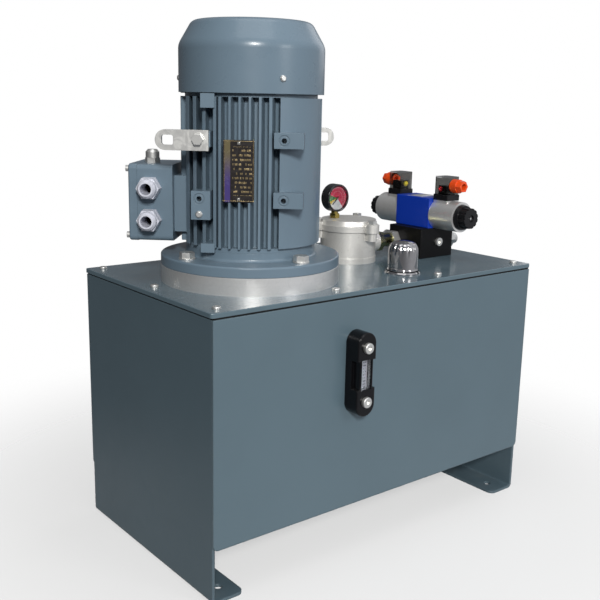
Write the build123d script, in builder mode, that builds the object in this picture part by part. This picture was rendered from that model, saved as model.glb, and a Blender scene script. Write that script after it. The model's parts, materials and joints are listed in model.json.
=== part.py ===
"""Hydraulic power unit: oil tank, vertical electric motor, gear pump, filter, breather and solenoid valve.

Millimetres, +Z up. The origin is on the floor, at the centre of the four foot holes.
+X runs along the tank, the front panel with the level gauge faces -Y.
"""
from build123d import *
import math
import os

os.makedirs("parts", exist_ok=True)

# ---- driving dimensions -------------------------------------------------------------------------
tank_length = 600.0
tank_depth = 340.0
tank_floor = 76.0
panel_top = 377.0
end_sheet = 4.0
sheet = 3.0
foot_width = 50.0
foot_pitch_x = 545.0
foot_pitch_y = 276.0
foot_hole_r = 5.5
foot_corner_r = 10.0

rim_thickness = 5.0
rim_width_x = 34.0
rim_width_y = 27.0
gasket_thickness = 2.5
lid_thickness = 6.0
lid_overhang = 2.4
lid_bottom = panel_top + gasket_thickness
lid_top = lid_bottom + lid_thickness
lid_screw_x = (-283.0, -92.0, 107.0, 283.0)
lid_screw_y = 151.0
m6_shank_r = 3.0
m6_hole_r = 3.15
m6_head_r = 5.6
m6_head_h = 3.6

motor_x = -140.0
motor_y = -20.0
motor_turn = -42.0
ring_r = 125.0
ring_height = 24.5
ring_top = lid_top + ring_height
spigot_r = 90.0
bell_body_r = 82.0
bell_bore_r = 62.0
bell_bottom = 285.0
bell_floor = 15.0
flange_thickness = 14.0
flange_bolt_r = 107.5
m12_shank_r = 6.0
m12_hole_r = 6.7
hub_r = 90.0
housing_bottom = ring_top + flange_thickness + 12.0
housing_top = 640.0
housing_r = 96.0
core_r = 76.0
stator_r = 66.2
air_gap_r = 46.1
stack_low = 470.0
stack_height = 130.0
end_ring_height = 8.0
rotor_bore_r = 19.0
drive_bearing_z = 428.0
bearing_height = 16.0
bearing_r = 31.0
fan_low = 664.0
fan_hub_r = 20.0
fan_bore_r = 12.0
fin_pitch = 12.94
fin_shift = -4.2
fin_count = 6
cheek_fins = (-77.5, -66.0, -52.0, -37.0)
side_fin_pitch = 13.25
fin_tip = 2.3
fin_base = 9.0
pad_face = 97.0
pad_holes_x = (-56.0, 53.0)
lug_x = pad_holes_x[0]
pad_low_z = 507.0
plate_x = -4.7
pad_high_z = 583.0
cover_r = 98.5
cover_sheet = 2.0
cover_bottom = 641.0
cover_shoulder = 703.0
cover_top = 734.5
cover_top_r = 80.0
cover_screw_z = 660.0
cover_screw_angles = (180, 300, 60)

box_inner_x = -100.0
box_split_x = -148.0
box_outer_x = -160.0
box_half_y = 50.0
box_low = 443.0
box_high = 546.0
gland_x = -130.5
gland_z = (472.0, 515.0)

coupling_hub_r = 32.0
pump_hub_low = 304.0
pump_hub_top = 338.0
motor_hub_low = 356.0
motor_hub_height = 42.0
jaw_height = 15.0
motor_jaw_low = motor_hub_low - jaw_height

pump_top = bell_bottom
pump_length = 92.0
pump_width = 74.0
tooth_root = 4.4
tooth_tip = 1.7
pump_cover_h = 25.0
pump_body_h = 35.0
pump_end_h = 22.0
gear_teeth = 10
gear_module = 2.8
gear_tip_r = 16.6
gear_root_r = 10.6
gear_centres = gear_teeth * gear_module
pump_shaft_r = 9.0
pump_mid_y = motor_y

filter_x = 74.5
filter_y = 14.4
filter_r = 44.0
filter_flange_top = 394.5
filter_joint = 434.5
filter_cover_top = 452.0
filter_ear_r = 52.0
filter_ear_angles = (-87.0, 33.0, 153.0)
gauge_x = 59.5
gauge_y = 31.4
gauge_z = 484.0
gauge_r = 21.7
gauge_depth = 18.0

breather_x = 74.0
breather_y = -110.0
breather_flange_r = 26.7

block_x = 215.5
block_y = -9.5
block_size_x = 75.0
block_size_y = 73.0
block_top = 434.5
port_z = 411.0
valve_width = 46.0
valve_length = 73.0
valve_top = 483.5
spool_z = 457.0
spool_r = 6.0
coil_r = 24.0
coil_length = 50.0
tube_r = 11.0
armature_r = 8.0
knob_length = 20.0
connector_offset = 52.0
connector_size = 28.0
connector_base_top = 490.5
connector_top = 519.0
connector_gland_z = 505.0

level_x = -71.0
level_z = 274.0
level_pitch = 76.0
level_width = 33.0
level_height = 118.0
level_depth = 25.0

fit = 0.05
press_gap = 0.02


def save(builder, name):
    """Label a finished piece and write it as its own STEP file."""
    builder.part.label = name
    export_step(builder.part, f"parts/{name}.step")


def motor_plane(z):
    """Plane square to the motor axis, its -Y side facing the way the nameplate faces."""
    turn = math.radians(motor_turn)
    return Plane(origin=(motor_x, motor_y, z), x_dir=(math.cos(turn), math.sin(turn), 0), z_dir=(0, 0, 1))


def motor_front(x, depth, z):
    """Plane parallel to the nameplate, at a distance in front of the motor axis."""
    base = motor_plane(z)
    point = base.from_local_coords(Vector(x, -depth, 0))
    return Plane(origin=point, x_dir=base.x_dir, z_dir=-base.y_dir)


def motor_back(x, depth, z):
    """Plane parallel to the nameplate on the far side of the motor, facing away from it."""
    base = motor_plane(z)
    point = base.from_local_coords(Vector(x, depth, 0))
    return Plane(origin=point, x_dir=-base.x_dir, z_dir=base.y_dir)


def motor_left(y, depth, z):
    """Plane facing out of the terminal box side of the motor."""
    base = motor_plane(z)
    point = base.from_local_coords(Vector(-depth, y, 0))
    return Plane(origin=point, x_dir=-base.y_dir, z_dir=-base.x_dir)


def hexagon(across_flats):
    """Add a hexagon to the active sketch."""
    RegularPolygon(radius=across_flats / 2, side_count=6, major_radius=False)


lid_screw_points = [(x, y) for x in lid_screw_x for y in (-lid_screw_y, lid_screw_y)]
lid_screw_points += [(lid_screw_x[0], 0.0), (lid_screw_x[-1], 0.0)]
filter_ears = [
    (
        filter_x + filter_ear_r * math.cos(math.radians(angle)),
        filter_y + filter_ear_r * math.sin(math.radians(angle)),
    )
    for angle in filter_ear_angles
]
valve_screws = [
    (block_x + sx * 16.0, block_y + sy * 15.5)
    for sx in (-1, 1)
    for sy in (-1, 1)
]
flange_bolts = [
    (flange_bolt_r * math.cos(math.radians(a)), flange_bolt_r * math.sin(math.radians(a)))
    for a in (45, 135, 225, 315)
]


# ---- tank ---------------------------------------------------------------------------------------
def make_end_plate(name, side):
    """One bent sheet: the end of the tank, running to the floor and folded inwards as a foot."""
    outer = side * tank_length / 2
    depth = tank_depth - 2 * sheet
    with BuildPart() as plate:
        with BuildSketch(Plane.XZ.offset(-depth / 2)):
            with BuildLine():
                Polyline(
                    (outer, 0),
                    (outer, panel_top),
                    (outer - side * end_sheet, panel_top),
                    (outer - side * end_sheet, end_sheet),
                    (outer - side * foot_width, end_sheet),
                    (outer - side * foot_width, 0),
                    close=True,
                )
            make_face()
        extrude(amount=depth)
        bends = plate.edges().filter_by(Axis.Y)
        fillet([e for e in bends if abs(e.center().X - outer) < 1 and e.center().Z < 1], radius=end_sheet + 3)
        bends = plate.edges().filter_by(Axis.Y)
        inner = outer - side * end_sheet
        fillet([e for e in bends if abs(e.center().X - inner) < 1 and e.center().Z < end_sheet + 1], radius=3)
        corners = plate.edges().filter_by(Axis.Z)
        fillet([e for e in corners if abs(e.center().X - outer) > foot_width - 1], radius=foot_corner_r)
        with Locations((side * foot_pitch_x / 2, 0, end_sheet)):
            with GridLocations(1, foot_pitch_y, 1, 2):
                Hole(foot_hole_r)
        if side > 0:
            with BuildSketch(Plane.YZ.offset(inner - 1)):
                with Locations((0, tank_floor + 25)):
                    Circle(13.2)
            extrude(amount=end_sheet + 2, mode=Mode.SUBTRACT)
    save(plate, name)


def make_panel(name, side):
    """Front or rear sheet, in front of the end plates' edges, with rounded lower corners."""
    with BuildPart() as panel:
        with BuildSketch(Plane.XZ.offset(-side * tank_depth / 2)):
            with Locations((0, (tank_floor + panel_top) / 2)):
                Rectangle(tank_length, panel_top - tank_floor)
        extrude(amount=side * sheet)
        lower = panel.edges().filter_by(Axis.Y).group_by(Axis.Z)[0]
        fillet(lower, radius=8)
        if side < 0:
            with BuildSketch(Plane.XZ.offset(tank_depth / 2 + 1)):
                with Locations((level_x, level_z)):
                    with GridLocations(1, level_pitch, 1, 2):
                        Circle(5.2)
            extrude(amount=-(sheet + 2), mode=Mode.SUBTRACT)
    save(panel, name)


def make_tank_bottom():
    """Floor sheet of the tank, welded in between the panels."""
    with BuildPart() as bottom:
        with BuildSketch(Plane.XY.offset(tank_floor)):
            Rectangle(tank_length - 2 * end_sheet, tank_depth - 2 * sheet)
        extrude(amount=sheet)
    save(bottom, "tank_bottom")


def make_baffle():
    """Upright sheet between the suction side and the return side, notched at its lower corners."""
    width = tank_depth - 2 * sheet
    height = 140.0
    with BuildPart() as baffle:
        with BuildSketch(Plane.YZ.offset(-5)):
            with Locations((0, tank_floor + sheet + height / 2)):
                Rectangle(width, height)
            with Locations((0, tank_floor + sheet)):
                with GridLocations(width, 1, 2, 1):
                    Circle(25, mode=Mode.SUBTRACT)
        extrude(amount=sheet)
    save(baffle, "baffle_plate")


def make_lid_rim():
    """Welded frame inside the top edge, which the lid is screwed to."""
    with BuildPart() as rim:
        with BuildSketch(Plane.XY.offset(panel_top - rim_thickness)):
            Rectangle(tank_length - 2 * end_sheet, tank_depth - 2 * sheet)
            inner_x = tank_length - 2 * end_sheet - 2 * rim_width_x
            inner_y = tank_depth - 2 * sheet - 2 * rim_width_y
            Rectangle(inner_x, inner_y, mode=Mode.SUBTRACT)
            with Locations(*lid_screw_points):
                Circle(m6_hole_r, mode=Mode.SUBTRACT)
        extrude(amount=rim_thickness)
    save(rim, "lid_rim")


def make_lid_gasket():
    """Flat rubber frame between the tank and its lid."""
    with BuildPart() as gasket:
        with BuildSketch(Plane.XY.offset(panel_top)):
            Rectangle(tank_length - 2, tank_depth - 2)
            Rectangle(tank_length - 74, tank_depth - 58, mode=Mode.SUBTRACT)
            with Locations(*lid_screw_points):
                Circle(m6_hole_r, mode=Mode.SUBTRACT)
        extrude(amount=gasket_thickness)
    save(gasket, "lid_gasket")


def make_lid():
    """Flat lid that carries the motor, filter, breather and manifold."""
    with BuildPart() as lid:
        with BuildSketch(Plane.XY.offset(lid_bottom)):
            Rectangle(tank_length + 2 * lid_overhang, tank_depth)
            fillet(vertices(), radius=4)
            with Locations(*lid_screw_points):
                Circle(m6_hole_r, mode=Mode.SUBTRACT)
            with Locations((motor_x, motor_y)):
                Circle(bell_body_r + 2, mode=Mode.SUBTRACT)
            with Locations((filter_x, filter_y)):
                Circle(37.5, mode=Mode.SUBTRACT)
            with Locations((breather_x, breather_y)):
                Circle(16.5, mode=Mode.SUBTRACT)
            with Locations((block_x, block_y)):
                Circle(9, mode=Mode.SUBTRACT)
        extrude(amount=lid_thickness)
        with BuildSketch(motor_plane(lid_bottom)):
            with Locations(*flange_bolts):
                Circle(m12_hole_r)
        extrude(amount=lid_thickness, mode=Mode.SUBTRACT)
        chamfer(lid.faces().sort_by(Axis.Z)[-1].outer_wire().edges(), length=0.6)
    save(lid, "lid")


def make_machine_screws():
    """Small screws: lid, filter cover and valve, each a domed or socket head on a plain shank."""
    with BuildPart() as screws:
        with BuildSketch(Plane.XY.offset(panel_top - rim_thickness - 6)):
            with Locations(*lid_screw_points):
                Circle(m6_shank_r)
        extrude(amount=lid_top - panel_top + rim_thickness + 6)
        with BuildSketch(Plane.XY.offset(lid_top)):
            with Locations(*lid_screw_points):
                Circle(m6_head_r)
        extrude(amount=m6_head_h)
        heads = screws.faces().filter_by(Axis.Z).group_by(Axis.Z)[-1]
        fillet([e for f in heads for e in f.edges()], radius=1.6)
        with BuildSketch(Plane.XY.offset(lid_top + m6_head_h - 2)):
            with Locations(*lid_screw_points):
                hexagon(3.5)
        extrude(amount=3, mode=Mode.SUBTRACT)
        with BuildSketch(Plane.XY.offset(filter_joint - 10)):
            with Locations(*filter_ears):
                Circle(3.9)
        extrude(amount=filter_cover_top - 4 - filter_joint + 10)
        with BuildSketch(Plane.XY.offset(filter_cover_top - 4)):
            with Locations(*filter_ears):
                hexagon(12.6)
        extrude(amount=6)
        with BuildSketch(Plane.XY.offset(block_top - 8)):
            with Locations(*valve_screws):
                Circle(2.4)
        extrude(amount=valve_top - block_top + 8 - 5)
        with BuildSketch(Plane.XY.offset(valve_top - 5)):
            with Locations(*valve_screws):
                Circle(4.2)
        extrude(amount=4.6)
        with BuildSketch(Plane.XY.offset(valve_top - 3)):
            with Locations(*valve_screws):
                hexagon(4)
        extrude(amount=4, mode=Mode.SUBTRACT)
    save(screws, "machine_screws")


def make_drain_plug():
    """Magnetic drain plug with its flange, low in the right end plate."""
    outer = tank_length / 2
    with BuildPart() as plug:
        with BuildSketch(Plane.YZ.offset(outer - end_sheet - 8)):
            with Locations((0, tank_floor + 25)):
                Circle(13)
        extrude(amount=end_sheet + 8)
        with BuildSketch(Plane.YZ.offset(outer)):
            with Locations((0, tank_floor + 25)):
                Circle(18)
        extrude(amount=4)
        with BuildSketch(Plane.YZ.offset(outer + 4)):
            with Locations((0, tank_floor + 25)):
                hexagon(22)
        extrude(amount=8)
        with BuildSketch(Plane.YZ.offset(outer + 5)):
            with Locations((0, tank_floor + 25)):
                hexagon(10)
        extrude(amount=8, mode=Mode.SUBTRACT)
    save(plug, "drain_plug")


# ---- level gauge --------------------------------------------------------------------------------
def make_level_gauge():
    """Oil level gauge: black body, clear window, printed scale and two hollow bolts."""
    face = tank_depth / 2 + level_depth
    window_w = 18.0
    window_h = 43.0
    with BuildPart() as body:
        with BuildSketch(Plane.XZ.offset(tank_depth / 2)):
            with Locations((level_x, level_z)):
                SlotOverall(level_height, level_width, rotation=90)
        extrude(amount=level_depth)
        with BuildSketch(Plane.XZ.offset(face)):
            with Locations((level_x, level_z)):
                with GridLocations(level_width, 1, 2, 1):
                    Rectangle(9, 40)
        extrude(amount=-13, mode=Mode.SUBTRACT)
        fillet(body.faces().sort_by(Axis.Y)[0].outer_wire().edges(), radius=2)
        with BuildSketch(Plane.XZ.offset(face)):
            with Locations((level_x, level_z)):
                Rectangle(window_w, window_h)
        extrude(amount=-12, mode=Mode.SUBTRACT)
        with BuildSketch(Plane.XZ.offset(face)):
            with Locations((level_x, level_z)):
                with GridLocations(1, level_pitch, 1, 2):
                    Circle(5.1)
        extrude(amount=-level_depth, mode=Mode.SUBTRACT)
    save(body, "level_gauge_body")

    with BuildPart() as window:
        with BuildSketch(Plane.XZ.offset(face - 10)):
            with Locations((level_x, level_z)):
                Rectangle(window_w - 0.4, window_h - 0.4)
        extrude(amount=8)
        chamfer(window.faces().sort_by(Axis.Y)[0].edges(), length=0.8)
    save(window, "level_gauge_window")

    with BuildPart() as scale:
        with BuildSketch(Plane.XZ.offset(face - 12)):
            with Locations((level_x, level_z)):
                Rectangle(window_w - 1, window_h - 1)
        extrude(amount=1.2)
    save(scale, "level_gauge_scale")

    with BuildPart() as bolts:
        with BuildSketch(Plane.XZ.offset(tank_depth / 2 - 14)):
            with Locations((level_x, level_z)):
                with GridLocations(1, level_pitch, 1, 2):
                    Circle(5)
        extrude(amount=level_depth + 14)
        with BuildSketch(Plane.XZ.offset(face)):
            with Locations((level_x, level_z)):
                with GridLocations(1, level_pitch, 1, 2):
                    Circle(7.6)
        extrude(amount=5)
        fillet([e for f in bolts.faces().group_by(Axis.Y)[0] for e in f.edges()], radius=1.5)
        with BuildSketch(Plane.XZ.offset(face + 5)):
            with Locations((level_x, level_z)):
                with GridLocations(1, level_pitch, 1, 2):
                    hexagon(6)
        extrude(amount=-3, mode=Mode.SUBTRACT)
        with BuildSketch(Plane.XZ.offset(tank_depth / 2 - sheet)):
            with Locations((level_x, level_z)):
                with GridLocations(1, level_pitch, 1, 2):
                    hexagon(17)
        extrude(amount=-7)
    save(bolts, "level_gauge_bolts")


# ---- motor --------------------------------------------------------------------------------------
def make_bellhousing():
    """Machined ring on the lid, with a bell below it that carries the pump on the motor's axis."""
    with BuildPart() as bell:
        with BuildSketch(motor_plane(lid_top)):
            Circle(ring_r)
        extrude(amount=ring_height)
        chamfer(bell.edges().group_by(Axis.Z)[-1], length=1)
        with BuildSketch(motor_plane(bell_bottom)):
            Circle(bell_body_r)
        extrude(amount=lid_top - bell_bottom)
        with BuildSketch(motor_plane(bell_bottom + bell_floor)):
            Circle(bell_bore_r)
        extrude(amount=ring_top - bell_bottom - bell_floor, mode=Mode.SUBTRACT)
        with BuildSketch(motor_plane(ring_top - 5)):
            Circle(spigot_r + fit)
        extrude(amount=5, mode=Mode.SUBTRACT)
        with BuildSketch(motor_plane(bell_bottom)):
            Circle(25 + fit)
        extrude(amount=bell_floor, mode=Mode.SUBTRACT)
        with BuildSketch(motor_plane(lid_top)):
            with Locations(*flange_bolts):
                Circle(m12_hole_r)
        extrude(amount=ring_height, mode=Mode.SUBTRACT)
        with BuildSketch(Plane.XZ.offset(-motor_y)):
            with Locations((motor_x, bell_bottom + bell_floor + 37)):
                RectangleRounded(52, 50, 8)
        extrude(amount=ring_r, both=True, mode=Mode.SUBTRACT)
    save(bell, "bellhousing")


def make_motor_flange():
    """Drive-end shield with its round mounting flange, spigot and bearing seat."""
    with BuildPart() as flange:
        with BuildSketch(motor_plane(ring_top)):
            Circle(ring_r)
            with Locations(*flange_bolts):
                Circle(7.25, mode=Mode.SUBTRACT)
        extrude(amount=flange_thickness)
        fillet(flange.faces().sort_by(Axis.Z)[-1].outer_wire().edges(), radius=2.5)
        with BuildSketch(motor_plane(ring_top - 4.8)):
            Circle(spigot_r)
        extrude(amount=4.8)
        with BuildSketch(motor_plane(ring_top + flange_thickness)):
            Circle(hub_r)
        extrude(amount=12)
        seam = flange.edges().filter_by(GeomType.CIRCLE).filter_by_position(
            Axis.Z, ring_top + flange_thickness - 0.1, ring_top + flange_thickness + 0.1)
        fillet([e for e in seam if abs(e.radius - hub_r) < 0.1], radius=4)
        with BuildSketch(motor_plane(housing_bottom)):
            Circle(stator_r - fit)
        extrude(amount=5)
        with BuildSketch(motor_plane(housing_bottom + 5)):
            Circle(42)
        extrude(amount=5)
        with BuildSketch(motor_plane(drive_bearing_z)):
            Circle(bearing_r + fit)
        extrude(amount=30, mode=Mode.SUBTRACT)
        with BuildSketch(motor_plane(ring_top - 5)):
            Circle(15.5)
        extrude(amount=30, mode=Mode.SUBTRACT)
    save(flange, "motor_flange")


def fin_outline(x):
    """One tapered cooling fin from inside the core to past the housing's radius along -Y."""
    tip_y = -housing_r - 2
    reach = math.sqrt(max(0.0, core_r**2 - x**2)) - 6
    base_y = -max(16.0, reach)
    with BuildLine() as outline:
        Polyline(
            (x - fin_tip / 2, tip_y),
            (x + fin_tip / 2, tip_y),
            (x + fin_base / 2, base_y),
            (x - fin_base / 2, base_y),
            close=True,
        )
    make_face(outline.edges())


def make_motor_housing():
    """Cast finned housing with the pads for feet and lifting lugs and the seat of the terminal box."""
    fins_low = housing_bottom + 6
    fins_high = housing_top - 4
    with BuildPart() as housing:
        with BuildSketch(motor_plane(fins_low)):
            Circle(core_r)
            for turn in (0, 180):
                with Locations(Location((0, 0, 0), (0, 0, turn))):
                    add(half_fins())
            Circle(housing_r, mode=Mode.INTERSECT)
        extrude(amount=fins_high - fins_low)
        for z, height in ((housing_bottom, 6), (fins_high, housing_top - fins_high)):
            with BuildSketch(motor_plane(z)):
                Circle(hub_r)
            extrude(amount=height)
        for place in (motor_front, motor_back):
            for z in (pad_low_z, pad_high_z):
                with BuildSketch(place(59, 70, z)):
                    Rectangle(38, 20)
                extrude(amount=pad_face - 70)
            for z, height in ((pad_low_z - 8.5, 37), (pad_high_z, 20)):
                with BuildSketch(place(lug_x + 2, 66, z)):
                    Rectangle(25, height)
                extrude(amount=pad_face - 66)
            for z in (housing_bottom + 6, housing_top - 9):
                with BuildSketch(place(-46, 60, z)):
                    Rectangle(18, 18 if z > pad_high_z else 12)
                extrude(amount=31)
            for x in pad_holes_x:
                for z in (pad_low_z, pad_high_z):
                    with BuildSketch(place(x, pad_face, z)):
                        Circle(7.2)
                        Circle(5.6, mode=Mode.SUBTRACT)
                    extrude(amount=-0.8, mode=Mode.SUBTRACT)
                    with BuildSketch(place(x, pad_face, z)):
                        Circle(3.4)
                    extrude(amount=-16, mode=Mode.SUBTRACT)
            with BuildSketch(place(lug_x, pad_face, pad_low_z - 20)):
                Circle(2.1)
            extrude(amount=-8, mode=Mode.SUBTRACT)
        with BuildSketch(motor_left(0, 60, 493)):
            Rectangle(76, 76)
        extrude(amount=-box_inner_x - 60)
        with BuildSketch(motor_left(0, 60, 493)):
            Circle(20)
        extrude(amount=-box_inner_x - 60, mode=Mode.SUBTRACT)
        with BuildSketch(motor_plane(housing_bottom)):
            Circle(stator_r)
        extrude(amount=housing_top - housing_bottom, mode=Mode.SUBTRACT)
    save(housing, "motor_housing")


def half_fins():
    """Fins on the nameplate face and the plain cheek beside them, in the motor's own axes."""
    with BuildSketch() as fins:
        for i in range(fin_count):
            fin_outline((i - 2) * fin_pitch + fin_shift)
        for x in cheek_fins:
            fin_outline(x)
        for i in range(-4, 3):
            with Locations((78, i * side_fin_pitch)):
                Rectangle(60, fin_tip + 2)
        with BuildLine():
            Polyline((45, -76), (49, -96), (104, -96), (104, -18), (88, -18), (80, -40), (64, -62), close=True)
        make_face()
    return fins.sketch


def make_rear_end_shield():
    """Fan-end shield with its bearing seat and three lugs for the fan cover."""
    with BuildPart() as shield:
        with BuildSketch(motor_plane(housing_top)):
            Circle(hub_r)
        extrude(amount=10)
        with BuildSketch(motor_plane(housing_top - 18)):
            Circle(42)
        extrude(amount=18)
        with BuildSketch(motor_plane(housing_top)):
            with PolarLocations(88, 3, start_angle=180):
                Rectangle(16, 16)
            Circle(cover_r - cover_sheet - 0.3, mode=Mode.INTERSECT)
        extrude(amount=28)
        with BuildSketch(motor_plane(housing_top - 18)):
            Circle(31 + fit)
        extrude(amount=22, mode=Mode.SUBTRACT)
        with BuildSketch(motor_plane(housing_top)):
            Circle(15.5)
        extrude(amount=12, mode=Mode.SUBTRACT)
    save(shield, "rear_end_shield")


def cover_spot(angle, radius):
    """Plane facing outwards at a fan cover screw, at a distance from the motor axis."""
    turned = motor_plane(cover_screw_z).rotated((0, 0, angle))
    spot = turned.origin + turned.x_dir * radius
    return Plane(origin=spot, x_dir=(0, 0, 1), z_dir=turned.x_dir)


def make_fan_cover():
    """Drawn steel fan cover: a cylinder, a rounded shoulder, a cone and a flat top with air slots."""
    with BuildPart() as cover:
        for inset, mode in ((0, Mode.ADD), (cover_sheet, Mode.SUBTRACT)):
            top = cover_top - inset
            side_r = cover_r - inset
            low = cover_bottom - inset
            with BuildSketch(Plane.XZ.offset(-motor_y)):
                with BuildLine():
                    FilletPolyline(
                        (motor_x, top),
                        (motor_x + cover_top_r - 0.7 * inset, top),
                        (motor_x + side_r, cover_shoulder - 0.4 * inset),
                        (motor_x + side_r, low),
                        radius=[12 - inset, 22 - inset],
                    )
                    Polyline((motor_x + side_r, low), (motor_x, low), (motor_x, top))
                make_face()
            revolve(axis=Axis((motor_x, motor_y, 0), (0, 0, 1)), mode=mode)
        for count, radius in ((8, 22), (14, 36), (20, 50), (26, 63)):
            with BuildSketch(motor_plane(cover_top + 1)):
                with PolarLocations(radius, count):
                    SlotOverall(10.5, 5)
            extrude(amount=-cover_sheet - 2, mode=Mode.SUBTRACT)
        for angle in cover_screw_angles:
            with BuildSketch(cover_spot(angle, cover_r - 6)):
                Circle(2.7)
            extrude(amount=10, mode=Mode.SUBTRACT)
    save(cover, "fan_cover")


def make_motor_bolts():
    """Flange bolts with nuts, lug bolts, earth screws, fan cover screws, box screws and blanking plug."""
    with BuildPart() as bolts:
        with BuildSketch(motor_plane(lid_bottom - 16)):
            with Locations(*flange_bolts):
                Circle(m12_shank_r)
        extrude(amount=ring_top + flange_thickness - lid_bottom + 16)
        with BuildSketch(motor_plane(lid_bottom - 10)):
            with Locations(*flange_bolts):
                hexagon(19)
        extrude(amount=10)
        with BuildSketch(motor_plane(ring_top + flange_thickness)):
            with Locations(*flange_bolts):
                Circle(11.2)
        extrude(amount=2)
        with BuildSketch(motor_plane(ring_top + flange_thickness + 2)):
            with Locations(*flange_bolts):
                hexagon(18)
        extrude(amount=7.5)
        for place in (motor_front, motor_back):
            with BuildSketch(place(lug_x, pad_face - 14, pad_high_z)):
                Circle(3.3)
            extrude(amount=20)
            with BuildSketch(place(lug_x, pad_face + 6, pad_high_z)):
                Circle(8)
            extrude(amount=1.5)
            with BuildSketch(place(lug_x, pad_face + 7.5, pad_high_z)):
                hexagon(13)
            extrude(amount=5.5)
            with BuildSketch(place(lug_x, pad_face - 7, pad_low_z - 20)):
                Circle(2)
            extrude(amount=7)
            with BuildSketch(place(lug_x, pad_face, pad_low_z - 20)):
                Circle(4.6)
            extrude(amount=1.4)
            with BuildSketch(place(lug_x, pad_face + 1.4, pad_low_z - 20)):
                Circle(4.6)
            extrude(amount=1.8, taper=40)
        for angle in cover_screw_angles:
            with BuildSketch(cover_spot(angle, cover_r - cover_sheet)):
                Circle(2.4)
            extrude(amount=cover_sheet + 0.3)
            with BuildSketch(cover_spot(angle, cover_r + 0.3)):
                Circle(4.2)
            extrude(amount=1.2)
            with BuildSketch(cover_spot(angle, cover_r + 1.5)):
                Circle(4.2)
            extrude(amount=1.7, taper=40)
        with BuildSketch(motor_left(0, -box_outer_x, (box_low + box_high) / 2)):
            with GridLocations(84, 90, 2, 2):
                Circle(4.2)
        extrude(amount=4.5)
        plug_spot = motor_plane(box_high).from_local_coords(Vector(-133, -20, 0))
        with BuildSketch(Plane(origin=plug_spot, x_dir=motor_plane(0).x_dir, z_dir=(0, 0, 1))):
            hexagon(18)
        extrude(amount=7)
        with BuildSketch(Plane(origin=plug_spot + Vector(0, 0, 7), x_dir=(1, 0, 0), z_dir=(0, 0, 1))):
            Circle(9.4)
        extrude(amount=8)
        with BuildSketch(Plane(origin=plug_spot + Vector(0, 0, 15), x_dir=(1, 0, 0), z_dir=(0, 0, 1))):
            Circle(9.4)
        extrude(amount=3.5, taper=42)
    save(bolts, "motor_bolts")


def make_stator():
    """Laminated stator core, with copper end windings above and below it."""
    with BuildPart() as core:
        with BuildSketch(motor_plane(stack_low)):
            Circle(stator_r - fit)
            Circle(air_gap_r, mode=Mode.SUBTRACT)
        extrude(amount=stack_height)
    save(core, "stator_core")
    with BuildPart() as windings:
        for z, height in ((stack_low, -23.5), (stack_low + stack_height, 20)):
            with BuildSketch(motor_plane(z)):
                Circle(63)
                Circle(48, mode=Mode.SUBTRACT)
            extrude(amount=height)
        rims = windings.edges().filter_by(GeomType.CIRCLE).group_by(Axis.Z)
        fillet(rims[0] + rims[-1], radius=5)
    save(windings, "stator_windings")


def make_motor_bearings():
    """Two sealed ball bearings, one in each end shield."""
    with BuildPart() as bearings:
        for z in (drive_bearing_z, housing_top - 12):
            with BuildSketch(motor_plane(z)):
                Circle(bearing_r)
                Circle(15 + fit, mode=Mode.SUBTRACT)
            extrude(amount=bearing_height)
    save(bearings, "motor_bearings")


def make_lifting_lugs():
    """Two zinc-plated strips with a rounded end and a D-shaped slot, bolted to the upper pads."""
    with BuildPart() as lugs:
        for place in (motor_front, motor_back):
            with BuildSketch(place(0, pad_face, pad_high_z - 1.5)):
                with BuildLine():
                    Polyline((-98, 13), (-42.7, 13), (-42.7, -13), (-98, -13))
                    ThreePointArc((-98, 13), (-111, 0), (-98, -13))
                make_face()
                with Locations((-95.2, 0)):
                    RectangleRounded(15, 12.6, 3, mode=Mode.SUBTRACT)
                with Locations((lug_x, 1.5)):
                    Circle(4.2, mode=Mode.SUBTRACT)
            extrude(amount=6)
    save(lugs, "lifting_lugs")


def make_nameplate():
    """Thin rating plate on the fins, with two rivets."""
    with BuildPart() as plate:
        with BuildSketch(motor_front(plate_x, housing_r, 543.5)):
            RectangleRounded(40, 79, 2)
        extrude(amount=1.2)
        with BuildSketch(motor_front(plate_x, housing_r + 1.2, 543.5)):
            with GridLocations(1, 71, 1, 2):
                Circle(1.6)
        extrude(amount=0.9)
    save(plate, "nameplate")


def make_motor_shaft():
    """Stepped shaft from the pump coupling up to the fan, with its key."""
    steps = ((350, 412, 14), (412, 447, 15), (447, 627, 19), (627, 646, 15), (646, 656, 13), (656, 700, 12))
    with BuildPart() as shaft:
        for low, high, radius in steps:
            with BuildSketch(motor_plane(low)):
                Circle(radius)
            extrude(amount=high - low)
        with BuildSketch(motor_plane(motor_hub_low + 4)):
            with Locations((12, 0)):
                Rectangle(10, 8)
        extrude(amount=34)
    save(shaft, "motor_shaft")


def make_rotor_core():
    """Squirrel-cage rotor with its end rings."""
    with BuildPart() as rotor:
        with BuildSketch(motor_plane(stack_low)):
            Circle(air_gap_r - 0.5)
        extrude(amount=stack_height)
        for z in (stack_low - end_ring_height, stack_low + stack_height):
            with BuildSketch(motor_plane(z)):
                Circle(43)
            extrude(amount=end_ring_height)
        with BuildSketch(motor_plane(stack_low - end_ring_height)):
            Circle(rotor_bore_r + press_gap)
        extrude(amount=stack_height + 2 * end_ring_height, mode=Mode.SUBTRACT)
    save(rotor, "rotor_core")


def make_fan():
    """Moulded cooling fan: hub, disc and straight blades."""
    with BuildPart() as fan:
        with BuildSketch(motor_plane(fan_low)):
            Circle(fan_hub_r)
        extrude(amount=34)
        with BuildSketch(motor_plane(fan_low)):
            Circle(73)
        extrude(amount=3)
        with BuildSketch(motor_plane(fan_low + 3)):
            with PolarLocations(45, 9):
                Rectangle(54, 3)
        extrude(amount=28)
        with BuildSketch(motor_plane(fan_low)):
            Circle(fan_bore_r + press_gap)
        extrude(amount=36, mode=Mode.SUBTRACT)
    save(fan, "fan")


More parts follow.
